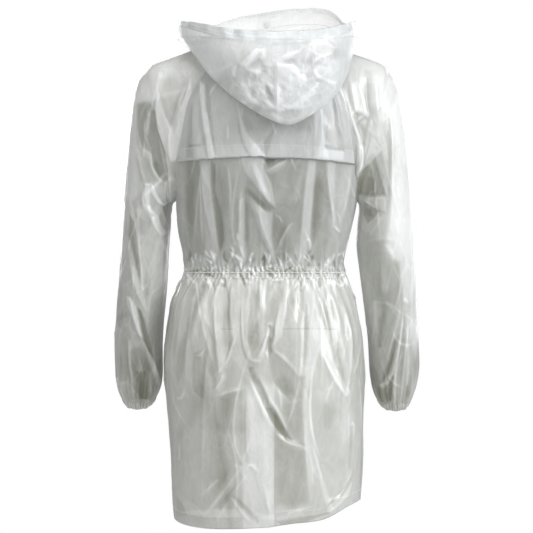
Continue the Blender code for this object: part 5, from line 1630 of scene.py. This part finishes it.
to_rim = np.linalg.norm(np.diff(grid, axis=0), axis=-1)[::-1].cumsum(axis=0)[::-1]
to_rim = np.concatenate([to_rim, np.zeros((1, len(column)))])
rising = shares[:, None]
white = white + 0.16 * smoothstep(band + 1.5, band - 1.5, to_rim) * smoothstep(0.3, 0.5, rising)
white = white - 0.25 * hump(to_rim - band, 1.4) * behind
white = white - 0.32 * hump(round_front - 0.5, 0.1) * smoothstep(0.3, 0.6, rising)
thin = 0.5 * smoothstep(0.6, 0.78, round_front) * smoothstep(0.25, 0.5, rising)
cut = int(np.searchsorted(shares, BRIM_FROM))
for name, columns in (("hood_right", np.s_[: HOOD_COLUMNS + 1]), ("hood_left", np.s_[HOOD_COLUMNS:])):
    half = np.s_[: cut + 1, columns]
    film_piece(name, grid[half], pale_film, white[half] + 0.2,
               ["back", "storm_flap"], thin=thin[half])
outside, inward = grid[cut:], normal[cut:]
channel = np.sin(np.linspace(0, 1, len(outside)) * math.pi * BRIM_CHANNELS)[:, None] ** 2
outside = outside + inward * (0.2 * channel)[..., None]
lining = outside[:-1] - inward[:-1] * BRIM_WALL
brim = np.concatenate([outside, lining[::-1]])
brim_film = frosted_film("brim_film", (0.84, 0.868, 0.885), (0.21, 0.222, 0.195), opacity=0.8,
                         milkiness=0.85)
film_piece("hood_brim", brim, brim_film, np.full(brim.shape[:2], -0.16),
           ["hood_left", "hood_right"],
           thin=np.broadcast_to(1.16 * thin[-1], brim.shape[:2]))

# ---------------------------------------------------------------- placket and press studs
# The front closes with a doubled placket, from the hem to the chin, and eight moulded press studs, whose
# caps are set through it.

PLACKET_HALF = 17.0
PLACKET_COLUMNS = 25
PLACKET_OFF, PLACKET_GAP, PLACKET_WALL = 1.2, 2.4, 1.0  # off the fronts, its fold, between layers
PLACKET_TOP = 12  # above this height it runs up to the chin, clearer and without stitching
SNAP_HEIGHTS = (56, -92, -200, -308, -476, -590, -704, -818)
SNAP_SIDES = 32
SNAP_RADIUS, SNAP_HEIGHT = 6.5, 2.0
# The cap from the middle of its back, round its edge to its domed and dished face: height and width.
SNAP_PROFILE = ((0.0, 0.0), (0.0, 1.0), (0.5, 1.0), (0.8, 0.95), (1.0, 0.82), (0.98, 0.66), (0.72, 0.6),
                (0.68, 0.3), (0.7, 0.0))


def across_front(row, middle):
    """Points of the placket on one row of a panel, whose centre front is at this column."""
    across = np.linspace(-PLACKET_HALF, PLACKET_HALF, PLACKET_COLUMNS)
    near = row[middle][np.argsort(row[middle][:, 0])]
    points = between(across, near[:, 0], near)
    points[:, 0] = across
    return points


near_middle = np.arange(QUARTER_COLUMNS - 16, QUARTER_COLUMNS + 17)
near_chin = np.r_[-9:-1, 0:9]
rows, normals = [], []
for where in ("skirt_front", "front"):
    grid, normal = skins[where]
    rows += [across_front(row, near_middle) for row in grid]
    normals += [line[QUARTER_COLUMNS] for line in normal]
rows += [across_front(row, near_chin) for row in hood[0][1:]]
normals += [line[0] for line in hood[1][1:]]
normals = np.array(normals)
normals[:, 0] = 0
rows, normals = np.array(rows), unit(normals)
for _ in range(12):
    rows, normals = eased(rows), unit(eased(normals))
spread = np.repeat(normals[:, None], PLACKET_COLUMNS, axis=1)
inset = slice(2, -2)
outer = (rows + spread * (PLACKET_OFF + PLACKET_GAP))[inset]
spread = spread[inset]
across = np.linspace(-1, 1, PLACKET_COLUMNS)
down = np.arange(len(outer))[:, None]
pucker = 0.5 * np.sin(down / 4.1 + 3 * across) + 0.4 * np.sin(down / 9.7)
outer = outer + spread * (pucker * (1 - across**4))[..., None]
under = outer[:, ::-1] - spread * PLACKET_WALL
placket = np.concatenate([outer, under[:, 1:]], axis=1)
clear = 0.8 * smoothstep(PLACKET_TOP, 40, placket[:, :1, 2])
clear = np.repeat(clear, placket.shape[1], axis=1)
doubled_film = frosted_film("doubled_film", (0.85, 0.87, 0.875), (0.215, 0.22, 0.18), opacity=0.86,
                            milkiness=0.66)
film_piece("front_placket", placket, doubled_film, np.full(placket.shape[:2], 0.3),
           ["front_left", "front_right"], thin=clear)


def plain_finish(name, colour, roughness, scale, strength, opacity=1.0):
    """A solid finish with a fine uneven surface: moulded for the studs, spun for the thread."""
    finish, shader, start, place = new_finish(name)
    rough = start.node("ShaderNodeTexNoise", {}, {"Vector": place, "Scale": scale, "Detail": 3.0}, "Fac")
    dark = [0.86 * tone for tone in colour]
    bump = start.node("ShaderNodeBump", {}, {"Height": rough, "Strength": strength, "Distance": 0.0003})
    start.feed(shader, {
        "Base Color": rough.blend((*dark, 1), (*colour, 1)),
        "Roughness": rough * 0.15 + roughness,
        "Normal": bump,
        "Alpha": opacity,
    })
    return finish


stud_plastic = plain_finish("stud_plastic", (0.84, 0.85, 0.85), 0.3, 700.0, 0.15, 0.38)
line = outer[:, PLACKET_COLUMNS // 2]
order = np.argsort(line[:, 2])
angle = np.linspace(0, 2 * math.pi, SNAP_SIDES, endpoint=False)[:, None]
for number, height in enumerate(SNAP_HEIGHTS, start=1):
    at = between(height, line[order, 2], line[order])
    out = unit(between(height, line[order, 2], spread[order, 0]))
    ring = np.cos(angle) * [1.0, 0, 0] + np.sin(angle) * np.cross(out, [1.0, 0, 0])
    cap = [at + out * SNAP_HEIGHT * high + ring * SNAP_RADIUS * wide for high, wide in SNAP_PROFILE]
    film_piece(f"snap_{number}", np.array(cap), stud_plastic, None, closed=True,
               kind="cap")

# ---------------------------------------------------------------- sewing
# Lockstitch in milky thread runs along the flap's and the skirt's hems, the brim, the placket and the
# raglan seams. A thick white line of it holds the elastic at the waist.


def sewn_line(name, points, normals, thread, radius=0.32, stitch=3.0, gap=1.1, proud=0.35):
    """Stitches along a line of points, each a short four-sided thread that dips in at its ends."""
    length = length_along(points)
    starts = np.arange(stitch / 2, length[-1] - stitch, stitch + gap)
    along = starts[:, None] + np.array([0, 0.2, 0.8, 1.0]) * stitch
    middle, out = between(along, length, points), unit(between(along, length, normals))
    side = unit(np.cross(unit(np.gradient(middle, axis=1)), out))
    middle = middle + out * np.array([-0.25, proud, proud, -0.25])[:, None]
    corners = np.stack([middle + way * radius for way in (side, out, -side, -out)], axis=2)
    one = np.concatenate([grid_faces(4, 4, closed=True), [(3, 2, 1, 0), (12, 13, 14, 15)]])
    faces = (np.arange(len(starts)) * 16)[:, None, None] + one
    mesh_piece(name, corners.reshape(-1, 3), faces.reshape(-1, 4), thread)


thread = plain_finish("milky_thread", (0.85, 0.86, 0.84), 0.55, 2400.0, 0.6)
white_thread = plain_finish("white_thread", (0.92, 0.92, 0.91), 0.6, 1500.0, 0.6)

flap_line = row_at(flap, FLAP_HEM, QUARTER_COLUMNS)
inner = np.s_[4:-4]
sewn_line("flap_hem_stitching", flap[flap_line, inner], flap_normals[flap_line, inner], thread)
for where in ("back", "front"):
    grid, normal = skins["skirt_" + where]
    line_row = row_at(grid, HEM_HEIGHT, QUARTER_COLUMNS)
    sewn_line(f"{where}_hem_stitching", grid[line_row, 2:-2], normal[line_row, 2:-2], thread)
centre_row = CASING_ROWS // 2
middle_line = casing[centre_row].copy()
out = out_of_loop(middle_line)
for _ in range(60):
    middle_line[1:-1] = (middle_line[:-2] + middle_line[1:-1] + middle_line[2:]) / 3
wander = middle_line + np.array([0, 0, 1.0]) * (0.35 * np.sin(turns * 0.5 + 1))[:, None]
sewn_line("waist_stitching", wander, out, white_thread, radius=0.95, stitch=9.0, gap=0.35, proud=2.8)
past = (to_rim > band).sum(axis=0) - 1
share = ((to_rim[past, column] - band) / (to_rim[past, column] - to_rim[past + 1, column]))[:, None]
on_band = [values[past, column] * (1 - share) + values[past + 1, column] * share for values in hood]
sewn_line("brim_stitching", *(values[3:-3] for values in on_band), thread)
top = int(np.argmax(line[:, 2] > PLACKET_TOP))
for edge, column in (("right", 2), ("left", PLACKET_COLUMNS - 3)):
    along_edge = np.s_[3:top, column]
    sewn_line(f"placket_stitching_{edge}", outer[along_edge], spread[along_edge], thread)
seam = np.arange(1, len(SEAM_SHARES))
for side, name in ((1, "left"), (-1, "right")):
    ring, ring_out = (values[3] for values in sleeves[side])
    for where, columns in (("back", seam), ("front", -seam)):
        sewn_line(f"raglan_stitching_{where}_{name}", ring[columns], ring_out[columns], thread)

# ---------------------------------------------------------------- studio
# A plain pale floor far below the coat, a white surround, and soft lights: the strongest is at the
# wearer's right, behind the coat.

FLOOR_SIZE, FLOOR_HEIGHT = 6.0, -1.42  # in metres, like all the sizes in this section
MIDDLE = (0, 0, -0.4)  # what the lights point at
CAMERA_PLACE = (0, 3.5, -0.416)
LENS, SENSOR = 124.4, 36.0

bpy.ops.mesh.primitive_plane_add(size=FLOOR_SIZE, location=(0, 0, FLOOR_HEIGHT))
floor = bpy.context.object
floor.name = "studio_floor"
pale_floor = bpy.data.materials.new("pale_floor")
pale_floor.use_nodes = True
floor_tree = pale_floor.node_tree
Wire(floor_tree).feed(floor_tree.nodes["Principled BSDF"],
                      {"Base Color": (0.86, 0.86, 0.86, 1), "Roughness": 0.8})
floor.data.materials.append(pale_floor)

for name, place, wide, high, power, colour in (
    ("key_light", (-2.4, 1.6, 0.9), 1.2, 2.2, 74, (0.98, 0.99, 1.0)),
    ("back_fill", (1.6, 3.2, 1.1), 2.0, 2.0, 32, (1.0, 0.985, 0.94)),
    ("top_light", (0.2, 0.9, 2.2), 1.8, 1.8, 34, (1.0, 1.0, 1.0)),
    ("front_key", (1.1, -2.8, 0.6), 1.6, 2.0, 36, (1.0, 1.0, 1.0)),
    ("front_fill", (-1.5, -2.6, 0.2), 1.6, 1.8, 18, (1.0, 1.0, 1.0)),
):
    lamp = bpy.data.lights.new(name, "AREA")
    lamp.shape = "RECTANGLE"
    lamp.size, lamp.size_y, lamp.energy, lamp.color = wide, high, power, colour
    light = bpy.data.objects.new(name, lamp)
    bpy.context.scene.collection.objects.link(light)
    light.location = place
    light.rotation_euler = (Vector(MIDDLE) - Vector(place)).to_track_quat("-Z", "Y").to_euler()

world = bpy.data.worlds.new("white_surround")
bpy.context.scene.world = world
world.use_nodes = True
sky = Wire(world.node_tree)
seen = sky.node("ShaderNodeLightPath", {}, {}, "Is Camera Ray")
sky.feed(world.node_tree.nodes["Background"], {"Color": (1, 1, 1, 1), "Strength": seen * 0.75 + 0.25})

lens = bpy.data.cameras.new("camera")
lens.lens, lens.sensor_width = LENS, SENSOR
camera = bpy.data.objects.new("camera", lens)
bpy.context.scene.collection.objects.link(camera)
camera.location = CAMERA_PLACE
camera.rotation_euler = (math.pi / 2, 0, math.pi)
bpy.context.scene.camera = camera
bpy.context.scene.view_settings.view_transform = "Standard"
